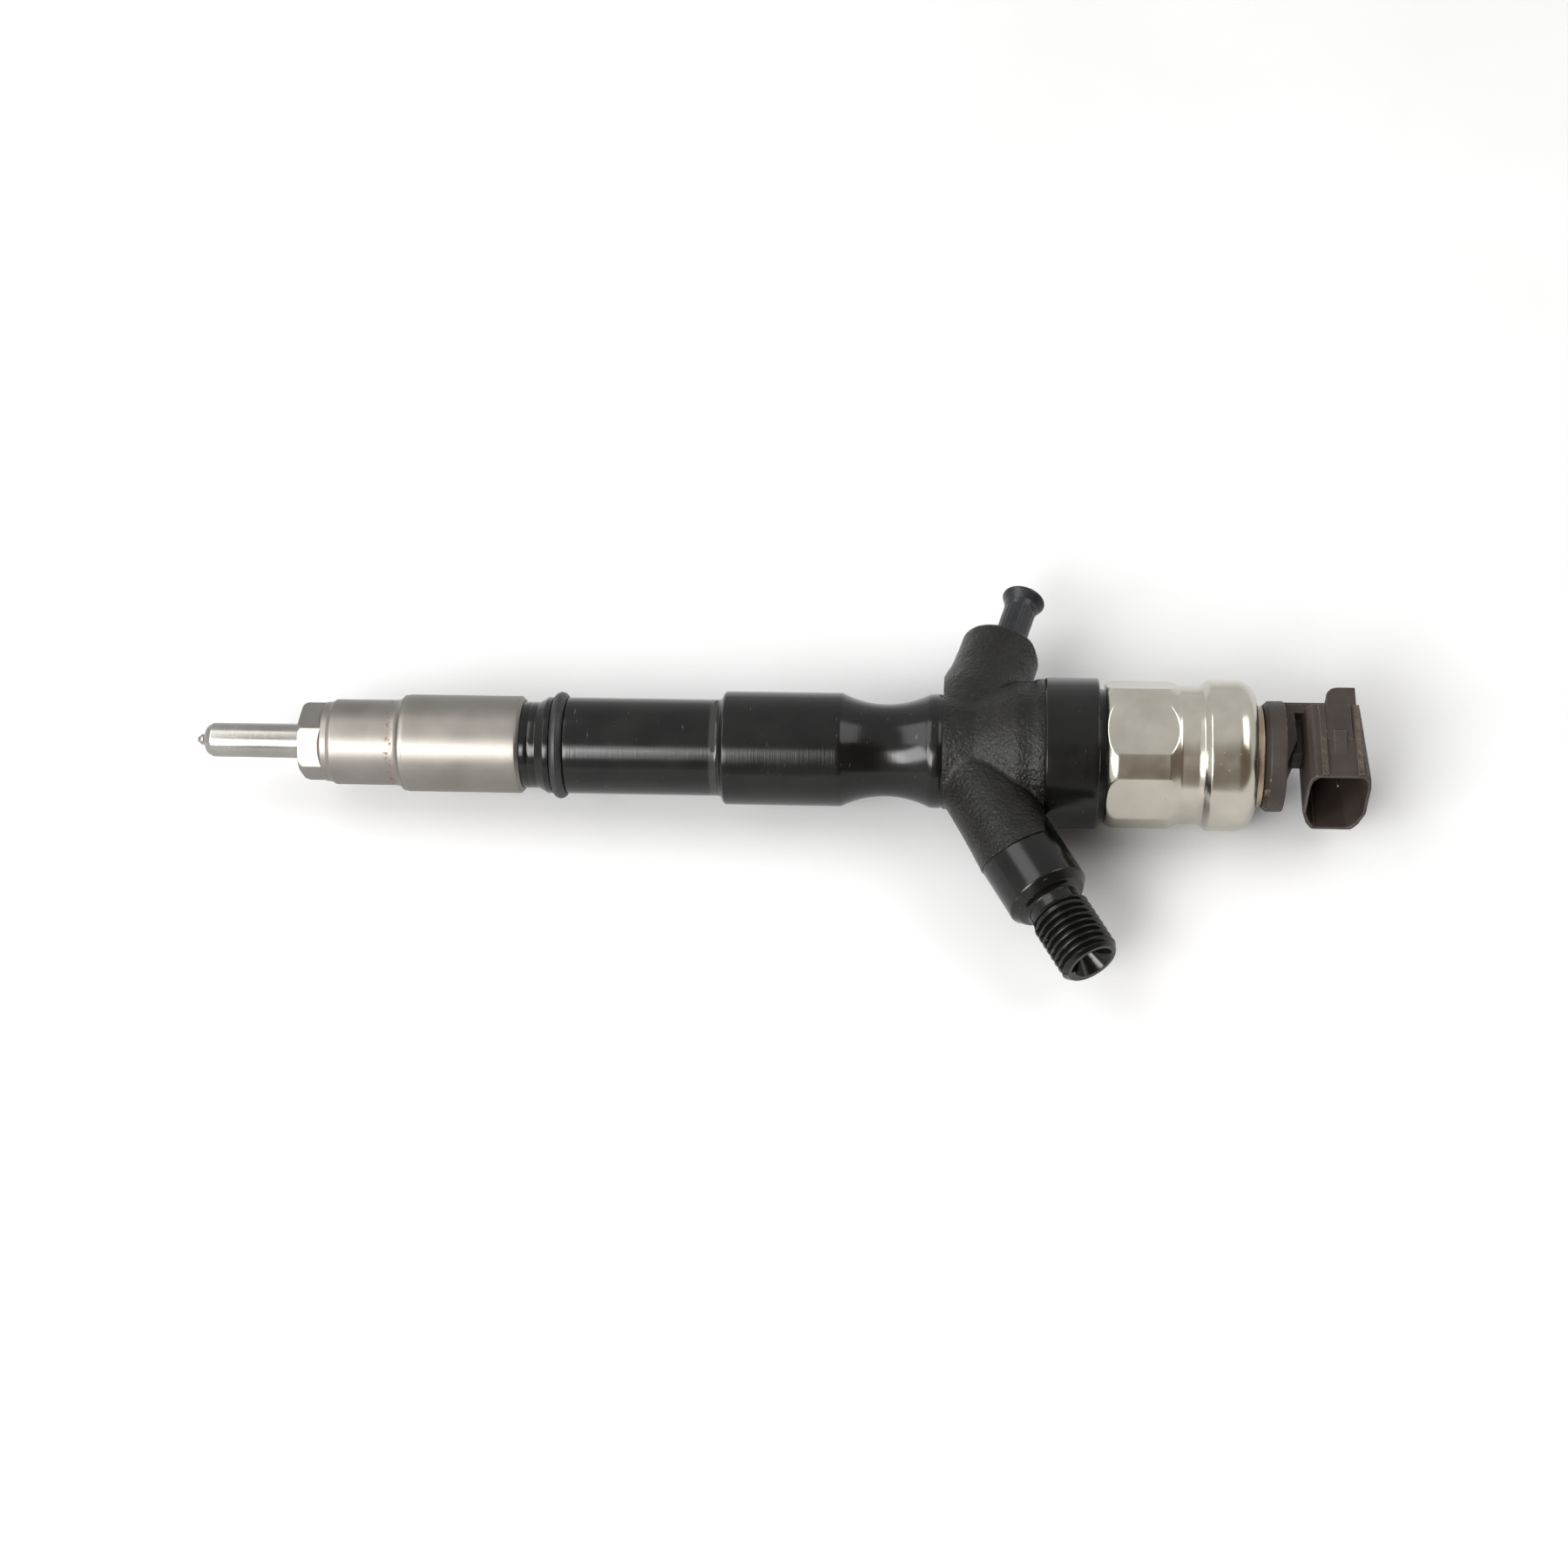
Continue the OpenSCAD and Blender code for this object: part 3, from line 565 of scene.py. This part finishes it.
def nozzle_nut():
    """Short hexagon, slim front, fillet and threaded skirt, in one piece."""
    flats, elevation, seat = 14.0, 43.3, 0.0
    front_r, r = 8.65, 9.82
    hex_end = 4.6
    head = rounded([
        (seat + 4, 3.6), (seat, 3.6), (seat, 7.6, 0.35), (seat + 1.0, 8.15, 0.6), (hex_end + 0.2, 8.15),
    ], 4)
    hexed = turned(fine(head, 0.18)[1:], 360, hexagon(flats, elevation), lead=0)
    skirt = rounded([
        (4.0, 6.5), (4.05, 7.1), (4.75, 8.05, 0.3), (5.9, 8.13, 0.4), (6.8, front_r, 0.5), (12, front_r),
        (18.8, front_r),
    ], 5) + arc(19.0, front_r + 2.2, 2.2, -90, -32, 10) + rounded([
        (21.2, r - 0.18), (21.75, r, 0.6), (30, r), (NUT_END - 0.7, r, 0.5), (NUT_END, r - 0.75, 0.25),
        (NUT_END, 8.6), (NUT_END - 2, 8.2), (20, 8.0),
    ], 5)
    obj = solid("nozzle_nut_skin", hexed, turned(fine(skirt, 1.0), 180))
    return piece(paint(shaded(obj, 40), FINISHES["nut_steel"]), "nozzle_nut")


# ---------------------------------------------------------------- injector body

RING_X = 51.3
CAST_X = 129.5


def body_turning():
    """The turned stretch from the nozzle nut to the forging."""
    shank_r, thick_r = 9.7, 11.4
    waist_x, waist_r, curve, half_angle = 118.2, 9.26, 19.5, 26.6
    outline = rounded([
        (NUT_END - 3, 7.9), (NUT_END - 1, 8.7), (46.6, 8.7), (46.8, 8.62), (47.0, 8.7), (48.3, 8.7, 0.4),
        (49.4, 9.3, 0.6), (50.1, 9.72, 0.3), (RING_X - 0.1, 9.72, 0.12), (RING_X - 0.1, 8.05),
        (RING_X + 2.8, 8.05), (RING_X + 2.8, shank_r, 0.15), (60, shank_r), (84.4, shank_r),
    ], 4) + arc(84.4, shank_r + 1.2, 1.2, -90, -30, 6) + rounded([
        (85.6, thick_r - 0.5), (86.1, thick_r, 0.45), (95, thick_r),
        (waist_x - curve * math.sin(math.radians(half_angle)) - 0.3, thick_r),
    ], 5) + arc(waist_x, waist_r + curve, curve, -90 - half_angle, -90 + half_angle, 40) + rounded([
        (CAST_X - 1.9, 11.42), (CAST_X - 0.5, 11.42), (CAST_X - 0.35, 11.3), (CAST_X + 0.6, 11.3),
        (CAST_X + 3, 8),
    ], 3)
    return paint(solid("body_turning", turned(fine(outline, 0.8), 180)), FINISHES["black_oxide"])


def head_collar():
    """The turned collar behind the forging, the neck and the start of the thread."""
    end = SOLENOID_START
    start = 149.6
    outline = rounded([
        (147, 8), (start, 13), (start, 14.7, 0.1), (start + 0.35, 15.05, 0.15), (155, 15.05),
        (159.0, 15.05), (160.3, 15.05, 1.3), (160.3, 13.3), (160.3, 12.9, 0.25), (161.1, 12.9),
        (161.2, 12.75), (161.5, 12.75), (161.6, 12.9), (end + 1, 12.2), (end + 4, 12.1), (end + 4, 6),
    ], 7)
    return paint(solid("head_collar", turned(fine(outline, 0.8), 180)), FINISHES["black_oxide"])


ARM_CAST_END = 31.0
BARREL_START = 24.0
BARREL_R = 8.2


def arm_blank():
    """The arm's forged root before it is fused: it flares into the trunk and is a little taller than wide."""
    steps = 20
    outline = [(0, 0), (0, 1)] + [(ARM_CAST_END * i / steps, 1) for i in range(1, steps + 1)] + [(ARM_CAST_END, 0)]

    def shape(s, r, angle):
        flare = 1.0 * max(0.0, 1 - s / 12) ** 2
        wide = 8.15 + flare + 0.5 * (max(0.0, s - 12) / 17) ** 2
        tall = 8.75 + flare - s * 0.004
        return r / math.hypot(math.cos(angle) / wide, math.sin(angle) / tall)

    lean = Matrix.Translation((0, 0.95, 0)) @ Matrix.Rotation(math.radians(-1.6), 4, "Z")
    return turned(outline, 96, shape, INLET @ lean)


def boss_blank():
    """The leak-off boss before it is fused."""
    top = 27.0
    outline = [(0, 0), (0, 11.2), (6, 10.75), (11, 10.0), (15, 9.1), (18, 8.55), (22, 8.3), (top - 1.1, 8.3)]
    outline += arc(top - 1.1, 7.2, 1.1, 90, 0, 6) + [(top, 0)]
    return turned(outline, 96, place=PORT @ Matrix.Translation((0, 0.85, 0)))


def forged_head():
    """The forging: trunk, arm root and boss fused into one skin with soft inner corners."""
    cone_end, face = 144.0, 149.7
    trunk = turned(rounded([
        (CAST_X - 2, 0), (CAST_X - 2, 11.6), (136, 11.6, 1.2), (cone_end, 14.3, 0.8), (147.2, 14.3, 0.4),
        (148.2, 14.75, 0.3), (face + 1, 14.8), (face + 1, 0),
    ], 6), 128)
    head = solid("head", trunk, arm_blank(), boss_blank())
    fused(head, 0.4)
    cut(head, (CAST_X, 0, 0), (-1, 0, 0))
    cut(head, (face, 0, 0), (1, 0, 0))
    bevel = PORT @ Vector((27, -4.9, 0))
    cut(head, bevel, PORT.to_3x3() @ Vector((1, -0.85, 0)))
    slant = INLET.to_3x3() @ Vector((1, 0, 0)) - Vector((0, 0, 0.24))
    cut(head, INLET @ Vector((27.6, 0, 0)), slant)
    fused(head, 0.22)
    softened(head, 3)
    normals = [v.normal.copy() for v in head.data.vertices]
    for v, normal in zip(head.data.vertices, normals):
        p = v.co / MM
        lump = noise.noise(p * 0.5) * 0.05 + noise.noise(p * 1.5) * 0.035 + noise.noise(p * 2.7) * 0.025
        v.co += normal * (lump - 0.04) * MM
    drill = solid("drill", turned([(14, 0), (14, 3.0), (30, 3.0), (30, 0)], 64, place=PORT))
    applied(head, "BOOLEAN", operation="DIFFERENCE", object=drill, solver="MANIFOLD")
    bpy.data.objects.remove(drill)
    return paint(head, FINISHES["forging"])


def inlet_barrel():
    """The arm's turned barrel with its shoulder and neck."""
    outline = rounded([
        (BARREL_START - 0.2, 5), (BARREL_START, BARREL_R), (BARREL_START + 1, BARREL_R),
        (38.7, BARREL_R, 0.7), (40.25, 6.9, 0.5), (40.6, 5.6), (40.9, 5.3, 0.3), (42.7, 5.3), (44.5, 5.15),
        (44.5, 3),
    ], 6)
    return paint(solid("inlet_barrel", turned(fine(outline, 0.8), 144, place=INLET)), FINISHES["black_oxide_arm"])


THREAD_START, ARM_END = 43.0, 55.8
THREAD_R, PITCH, THREAD_DEPTH = 6.0, 1.5, 0.92


def thread_radius(x, _r, angle):
    """Radius of the inlet thread, trimmed by the chamfer at its mouth and the run-out at the neck."""
    turn = ((x - THREAD_START) / PITCH - angle / (2 * math.pi)) % 1
    slope = abs(turn - 0.5) * 2
    level = min(1.0, max(0.0, (slope - 0.12) / 0.74))
    level = level * level * (3 - 2 * level) * 0.35 + level * 0.65
    r = THREAD_R - THREAD_DEPTH + THREAD_DEPTH * level
    chamfer = THREAD_R - 0.9 + (ARM_END - 0.05 - x) * 1.0
    runout = 5.3 + max(0.0, x - THREAD_START) * 1.1
    return min(r, chamfer, runout)


def inlet_thread():
    """The helical thread and the sealing cone in the arm's mouth."""
    rings_per_pitch = 14
    first, last = THREAD_START - PITCH, ARM_END
    count = round((last - first) / PITCH * rings_per_pitch)
    outline = [(first + (last - first) * i / count, THREAD_R) for i in range(count + 1)]
    verts, faces = turned(outline, 96, thread_radius, lead=PITCH)
    limit = (ARM_END - 0.02) * MM
    verts = [Vector((min(v.x, limit), v.y, v.z)) for v in verts]
    mouth = rounded([
        (ARM_END - 0.6, 5.0), (ARM_END - 0.02, 5.09), (ARM_END, 4.75, 0.15), (ARM_END, 4.4, 0.15),
        (52.2, 2.3), (50.5, 2.3), (50.5, 0),
    ], 4)
    inner = turned(fine(mouth, 0.6), 96)
    obj = solid("inlet_thread", (verts, faces), inner)
    edit(obj, lambda bm: bmesh.ops.remove_doubles(bm, verts=bm.verts, dist=2e-6))
    obj.data.transform(INLET.to_3x3().to_4x4())
    obj.data.transform(Matrix.Translation((INLET_X * MM, 0, 0)))
    return paint(obj, FINISHES["black_oxide_arm"])


def injector_body():
    parts = [body_turning(), head_collar(), forged_head(), inlet_barrel(), inlet_thread()]
    obj = joined("injector_body_skin", *parts)
    return piece(shaded(obj, 40), "injector_body")


def body_o_ring():
    """The ring in its groove, with the parting line of its mould."""
    centre, ring_r, wire = RING_X + 1.35, 9.45, 1.35
    flash = 0.06
    outline = []
    for i in range(49):
        a = 2 * math.pi * i / 48
        proud = flash * math.exp(-((math.degrees(a) - 90) / 5) ** 2)
        outline.append((centre + wire * math.cos(a), ring_r + (wire - flash + proud) * math.sin(a)))
    obj = solid("o_ring_skin", turned(outline, 160))
    edit(obj, lambda bm: bmesh.ops.remove_doubles(bm, verts=bm.verts, dist=1e-6))
    return piece(paint(shaded(obj), FINISHES["black_rubber"]), "body_o_ring")


def leak_off_plug():
    """Hollow protective plug with fine lengthwise ribs and a flared rim."""
    bottom, shoulder, top = 18.0, 27.1, 40.7
    ribs, depth = 20, 0.06

    def ribbed(x, r, angle):
        if shoulder + 0.2 < x < top - 3.2 and r > 3:
            return r - depth * (0.5 + 0.5 * math.cos(ribs * angle))
        return r

    outline = rounded([
        (bottom, 0), (bottom, 2.5, 0.2), (bottom + 0.6, 2.95, 0.2), (shoulder, 2.95), (shoulder, 3.3, 0.15),
        (top - 3.6, 3.3, 1.0), (top - 2.2, 3.6, 1.0), (top - 0.6, 4.45, 0.3), (top - 0.05, 4.42, 0.25),
        (top - 0.15, 3.85, 0.2), (top - 3, 2.1, 0.5), (bottom + 2.5, 2.0, 0.3), (bottom + 2.5, 0),
    ], 6)
    obj = solid("plug_skin", turned(fine(outline, 0.5), 160, ribbed, PORT))
    return piece(paint(shaded(obj), FINISHES["plug_plastic"]), "leak_off_plug", "plug")


# ---------------------------------------------------------------- solenoid nut and end plate

def solenoid_nut():
    """Plated nut: hexagon, cone to a neck, and a rounded cap."""
    start, end = SOLENOID_START, SOLENOID_END
    land_r, neck_r, rim_r, flats, elevation = 14.9, 13.75, 15.0, 28.0, 74.7
    trim = hexagon(flats, elevation, 0.05)

    def shape(x, r, angle):
        return trim(x, r, angle) if x < 176 else r

    front = rounded([(start + 3, 12.3), (start, 12.3), (start, 13.6)], 3)
    front += arc(start + 2.3, land_r - 3, 3, 140, 90, 16)
    front += rounded([
        (start + 4, land_r), (173.9, land_r, 0.6), (176.1, neck_r, 1.0), (178.8, neck_r), (179.6, neck_r),
        (180.6, neck_r + 0.2, 0.5), (181.05, rim_r - 0.6, 0.3), (181.8, rim_r, 0.6), (186.8, rim_r),
    ], 6)
    cap = arc(end - 4.2, rim_r - 4.2, 4.2, 88, 6, 18)
    back = rounded([(end, rim_r - 4.1), (end, 10.3, 0.25), (end - 2, 10.2), (end - 3, 10.2)], 4)
    obj = solid("solenoid_nut_skin", turned(fine(front + cap + back, 0.22), 360, shape))
    return piece(paint(shaded(obj, 30), FINISHES["nickel"]), "solenoid_nut")


def end_plate():
    outline = rounded([
        (PLATE_END - 3.0, 6), (PLATE_END - 3.0, 9.95, 0.1), (PLATE_END - 1.5, 10.0), (PLATE_END - 0.25, 10.0, 0.2),
        (PLATE_END, 9.7, 0.15), (PLATE_END, 6),
    ], 4)
    obj = solid("end_plate_skin", turned(fine(outline, 0.4), 144))
    return piece(paint(shaded(obj), FINISHES["tinned_plate"]), "end_plate")


# ---------------------------------------------------------------- connector

SOCKET_X, RIM_Y, FLOOR_Y, TOP_Y = 206.7, -11.1, 2.9, 6.3
HALF_X, HALF_Z, WALL = 6.2, 9.15, 0.7
FLANGE_END = 196.7


def socket_outline(grow, y):
    """The socket's rounded outline in X and Z at a height, with the draft of its outer side."""
    x, z = HALF_X + grow, HALF_Z + grow
    front = rounded([(x, 0), (x, 5, 2.0), (x - 0.35, z - 1.3, 0.9), (x - 1.4, z, 0.9), (0, z)], 6)[1:-1]
    rear = rounded([(x, 0), (x, 3.6, 2.0), (x - 1.0, z - 2.0, 2.2), (x - 2.2, z, 1.2), (0, z)], 6)[1:-1]
    outline = front + [(-a, b) for a, b in reversed(front)]
    outline += [(-a, -b) for a, b in rear] + [(a, -b) for a, b in reversed(rear)]
    draft = (y - RIM_Y) * math.tan(math.radians(3.6))
    return [(SOCKET_X + a - (draft if a > 0 else 0), y, b) for a, b in outline]


def socket():
    """Socket walls round an open well, on a solid back."""
    heights = (RIM_Y, RIM_Y + 0.25, -6, 0, FLOOR_Y + 0.3)
    outer = [socket_outline(-0.1 if y == RIM_Y else 0, y) for y in heights]
    inner = [socket_outline(-WALL + (0.1 if y == RIM_Y else 0), y) for y in reversed(heights)]
    n = len(outer[0])
    rings = outer + inner
    verts = [Vector(p) * MM for ring in rings for p in ring]
    faces = []
    for j in range(len(rings)):
        m = (j + 1) % len(rings)
        faces += [[j * n + i, j * n + (i + 1) % n, m * n + (i + 1) % n, m * n + i] for i in range(n)]
    back = loft([socket_outline(0, y) for y in (FLOOR_Y, TOP_Y)])
    return [(verts, faces), back]


def bridge():
    """Flange, shelf, web and gussets between the solenoid and the socket."""
    flange = turned(rounded([
        (HOUSING_START, 0), (HOUSING_START, 10.1, 0.2), (HOUSING_START + 1, 11.0, 0.25),
        (FLANGE_END, 11.0, 0.35), (FLANGE_END, 0),
    ], 5), 144)
    start = FLANGE_END - 0.5
    shelf = block((start, 7.2, -5), (start + 9.2, 9.7, 5))
    web = block((start, -1.1, -2.5), (start + 9.2, 8.9, 2.5))
    gusset = prism([(start, 8), (199, 8), (199.3, 0.7), (FLANGE_END, -5.8), (start, -5.8)], -5, 5)
    lug = block((SOCKET_X - 4, TOP_Y - 1, -5), (SOCKET_X + 3, TOP_Y + 1.9, 5))
    return [flange, shelf, web, gusset, lug]


def socket_trim():
    """Rails, latch ramp, stop and the upright block on the front wall."""
    z, latch_x = HALF_Z, SOCKET_X + 0.2
    parts = []
    for x in (-3.6, 3.2):
        parts.append(block((SOCKET_X + x, RIM_Y + 0.2, z - 0.5), (SOCKET_X + x + 1.15, TOP_Y - 0.5, z + 0.6)))
    ramp = [(-6, z - 0.3), (-6, z), (-0.7, z + 0.9), (-0.7, z - 0.3)]
    parts.append(loft([[(x, a, b) for a, b in ramp] for x in (latch_x - 1.2, latch_x + 1.2)]))
    parts.append(block((latch_x - 1, -0.8, z - 0.5), (latch_x + 1, 0.2, z + 0.3)))
    parts.append(block((SOCKET_X - 2.7, -2.3, z - 0.5), (SOCKET_X + 2.7, TOP_Y, z + 0.25)))
    low_x, high_x, top_y, round_r = 204.8, 210.6, 10.5, 2.4
    shoulder = arc(low_x + round_r, top_y - round_r, round_r, 90, 180, 8)
    outline = [(high_x - 0.3, TOP_Y - 1), (high_x, TOP_Y), (high_x, top_y)] + shoulder + [(low_x, TOP_Y - 1)]
    parts.append(prism(outline, 2, z))
    return parts


def mould_marks():
    """Flash and witness marks that the mould leaves: a thin wedge on one rail and small bumps."""
    z = HALF_Z
    wedge = loft([
        [(202.75, 5.3, z - 0.3), (203.3, 5.4, z - 0.3), (203.2, 5.4, z + 0.62), (202.9, 5.3, z + 0.62)],
        [(203.35, 2.0, z - 0.3), (204.15, 2.0, z - 0.3), (203.95, 2.0, z + 0.66), (203.5, 2.0, z + 0.66)],
        [(204.05, -1.2, z - 0.3), (204.55, -1.2, z - 0.3), (204.5, -1.2, z + 0.55), (204.2, -1.2, z + 0.55)],
    ])
    side = HALF_X + SOCKET_X
    nub = block((side - 0.6, RIM_Y + 0.05, -3.2), (side - 0.02, RIM_Y + 1.4, -1.9))
    far_nub = block((SOCKET_X + 1.4, RIM_Y + 0.02, -z - 0.0), (SOCKET_X + 2.5, RIM_Y + 0.9, -z + 0.6))
    return [wedge, nub, far_nub]


def connector_housing():
    obj = solid("connector_skin", *socket(), *bridge(), *socket_trim(), *mould_marks())
    fused(obj, 0.1)
    softened(obj, 2)
    return piece(paint(shaded(obj, 60), FINISHES["grey_brown_moulding"]), "connector_housing")


def connector_terminals():
    """Two square pins with tapered tips."""
    low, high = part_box("connector_terminals")
    tip_y, back_y = low.y / MM, high.y / MM
    centre_x = (low.x + high.x) / 2 / MM
    half = (high.x - low.x) / 2 / MM
    pins = []
    for side in (-1, 1):
        z = side * (high.z / MM - half)
        sections = []
        for y, size in ((tip_y, 0.16), (tip_y + 0.06, 0.2), (tip_y + 0.7, half - 0.03), (tip_y + 0.85, half),
                        (back_y, half)):
            bevel = size * 0.2
            ring = [(1, 1), (-1, 1), (-1, -1), (1, -1)]
            points = []
            for k, (a, b) in enumerate(ring):
                first = (a * size, b * (size - bevel))
                second = (a * (size - bevel), b * size)
                points += [first, second] if k % 2 == 0 else [second, first]
            sections.append([(centre_x + a, y, z + b) for a, b in points])
        pins.append(loft(sections))
    obj = solid("terminals_skin", *pins)
    return piece(paint(shaded(obj, 25), FINISHES["tin"]), "connector_terminals")


# ---------------------------------------------------------------- CAD nodes that stay

def dress_cad_nodes():
    """Every CAD node takes the finish of its material slot."""
    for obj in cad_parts.values():
        paint(obj, FINISHES[obj.data.materials[0].name])


# ---------------------------------------------------------------- studio

FLOOR_Z = -15.12


def studio_floor():
    size = 6000
    floor = solid("floor", loft([[(-size, -size, z), (size, -size, z), (size, size, z), (-size, size, z)]
                                 for z in (FLOOR_Z - 5, FLOOR_Z)]))
    f = Finish("floor", Roughness=0.75)
    f.shader.inputs["Specular IOR Level"].default_value = 0.2
    f.colour(f.mix(f.spread(f.speckle(60, 3), 0.3, 0.7, 0, 1), rgb(0.52, 0.52, 0.52), rgb(0.54, 0.54, 0.54)))
    paint(floor, f.done())


def panel(name, place, width, height, power, target=(110, 0, 0), tint=(1, 1, 1)):
    """A soft rectangular lamp at a place in millimetres, aimed at the object."""
    lamp = bpy.data.lights.new(name, "AREA")
    lamp.shape = "RECTANGLE"
    lamp.size, lamp.size_y = width * MM, height * MM
    lamp.energy = power
    lamp.color = tint
    obj = bpy.data.objects.new(name, lamp)
    bpy.context.scene.collection.objects.link(obj)
    obj.location = Vector(place) * MM
    way = (Vector(target) - Vector(place)).normalized()
    obj.rotation_euler = way.to_track_quat("-Z", "Y").to_euler()
    return obj


def studio_lamps():
    panel("front_box", (-580, -850, 755), 1000, 600, 25)
    panel("front_fill", (-215, -965, 790), 400, 640, 4.5)
    panel("top_left", (-600, 130, 1000), 1000, 650, 7)
    panel("top_right", (950, 130, 950), 900, 650, 5)


def studio_air():
    """Pale surroundings, darker and browner at the front right."""
    world = bpy.data.worlds.new("studio")
    bpy.context.scene.world = world
    world.use_nodes = True
    tree = world.node_tree
    back = tree.nodes["Background"]
    place = tree.nodes.new("ShaderNodeTexCoord")
    dot = tree.nodes.new("ShaderNodeVectorMath")
    dot.operation = "DOT_PRODUCT"
    tree.links.new(place.outputs["Generated"], dot.inputs[0])
    dot.inputs[1].default_value = Vector((0.55, -0.70, 0.46)).normalized()
    ramp = tree.nodes.new("ShaderNodeMapRange")
    ramp.interpolation_type = "SMOOTHSTEP"
    for key, value in (("From Min", 0.58), ("From Max", 0.92), ("To Min", 0.0), ("To Max", 1.0)):
        ramp.inputs[key].default_value = value
    tree.links.new(dot.outputs["Value"], ramp.inputs["Value"])
    tone = tree.nodes.new("ShaderNodeMix")
    tone.data_type = "RGBA"
    tone.inputs[6].default_value = rgb(0.88, 0.88, 0.88)
    tone.inputs[7].default_value = rgb(0.21, 0.16, 0.125)
    tree.links.new(ramp.outputs["Result"], tone.inputs[0])
    tree.links.new(tone.outputs[2], back.inputs["Color"])


def camera():
    """Looks down on the object from the front, 35 degrees from straight down, turned 4 degrees, with a slight roll."""
    tilt, swing, roll = math.radians(35), math.radians(4), math.radians(0.965)
    far, centre_x, lift = 539.4, 97.78, 7.098
    up = Vector((0, math.cos(tilt), math.sin(tilt)))
    facing = Vector((0, -math.sin(tilt), math.cos(tilt)))
    back = math.cos(swing) * facing + Vector((math.sin(swing), 0, 0))
    right = Vector((math.cos(swing), 0, 0)) - math.sin(swing) * facing
    level = math.cos(roll) * right + math.sin(roll) * up
    upright = -math.sin(roll) * right + math.cos(roll) * up
    place = Vector((centre_x, 0, 0)) - up * lift + back * far
    data = bpy.data.cameras.new("camera")
    data.sensor_width, data.lens = 36, 61.6
    data.clip_start, data.clip_end = 0.01, 50
    obj = bpy.data.objects.new("camera", data)
    bpy.context.scene.collection.objects.link(obj)
    axes = Matrix((level, upright, back)).transposed()
    obj.matrix_world = Matrix.Translation(place * MM) @ axes.to_4x4()
    bpy.context.scene.camera = obj


dress_cad_nodes()
nozzle_body()
nozzle_nut()
injector_body()
body_o_ring()
leak_off_plug()
solenoid_nut()
end_plate()
connector_housing()
connector_terminals()
studio_floor()
studio_lamps()
studio_air()
camera()
bpy.context.scene.view_settings.view_transform = "Standard"
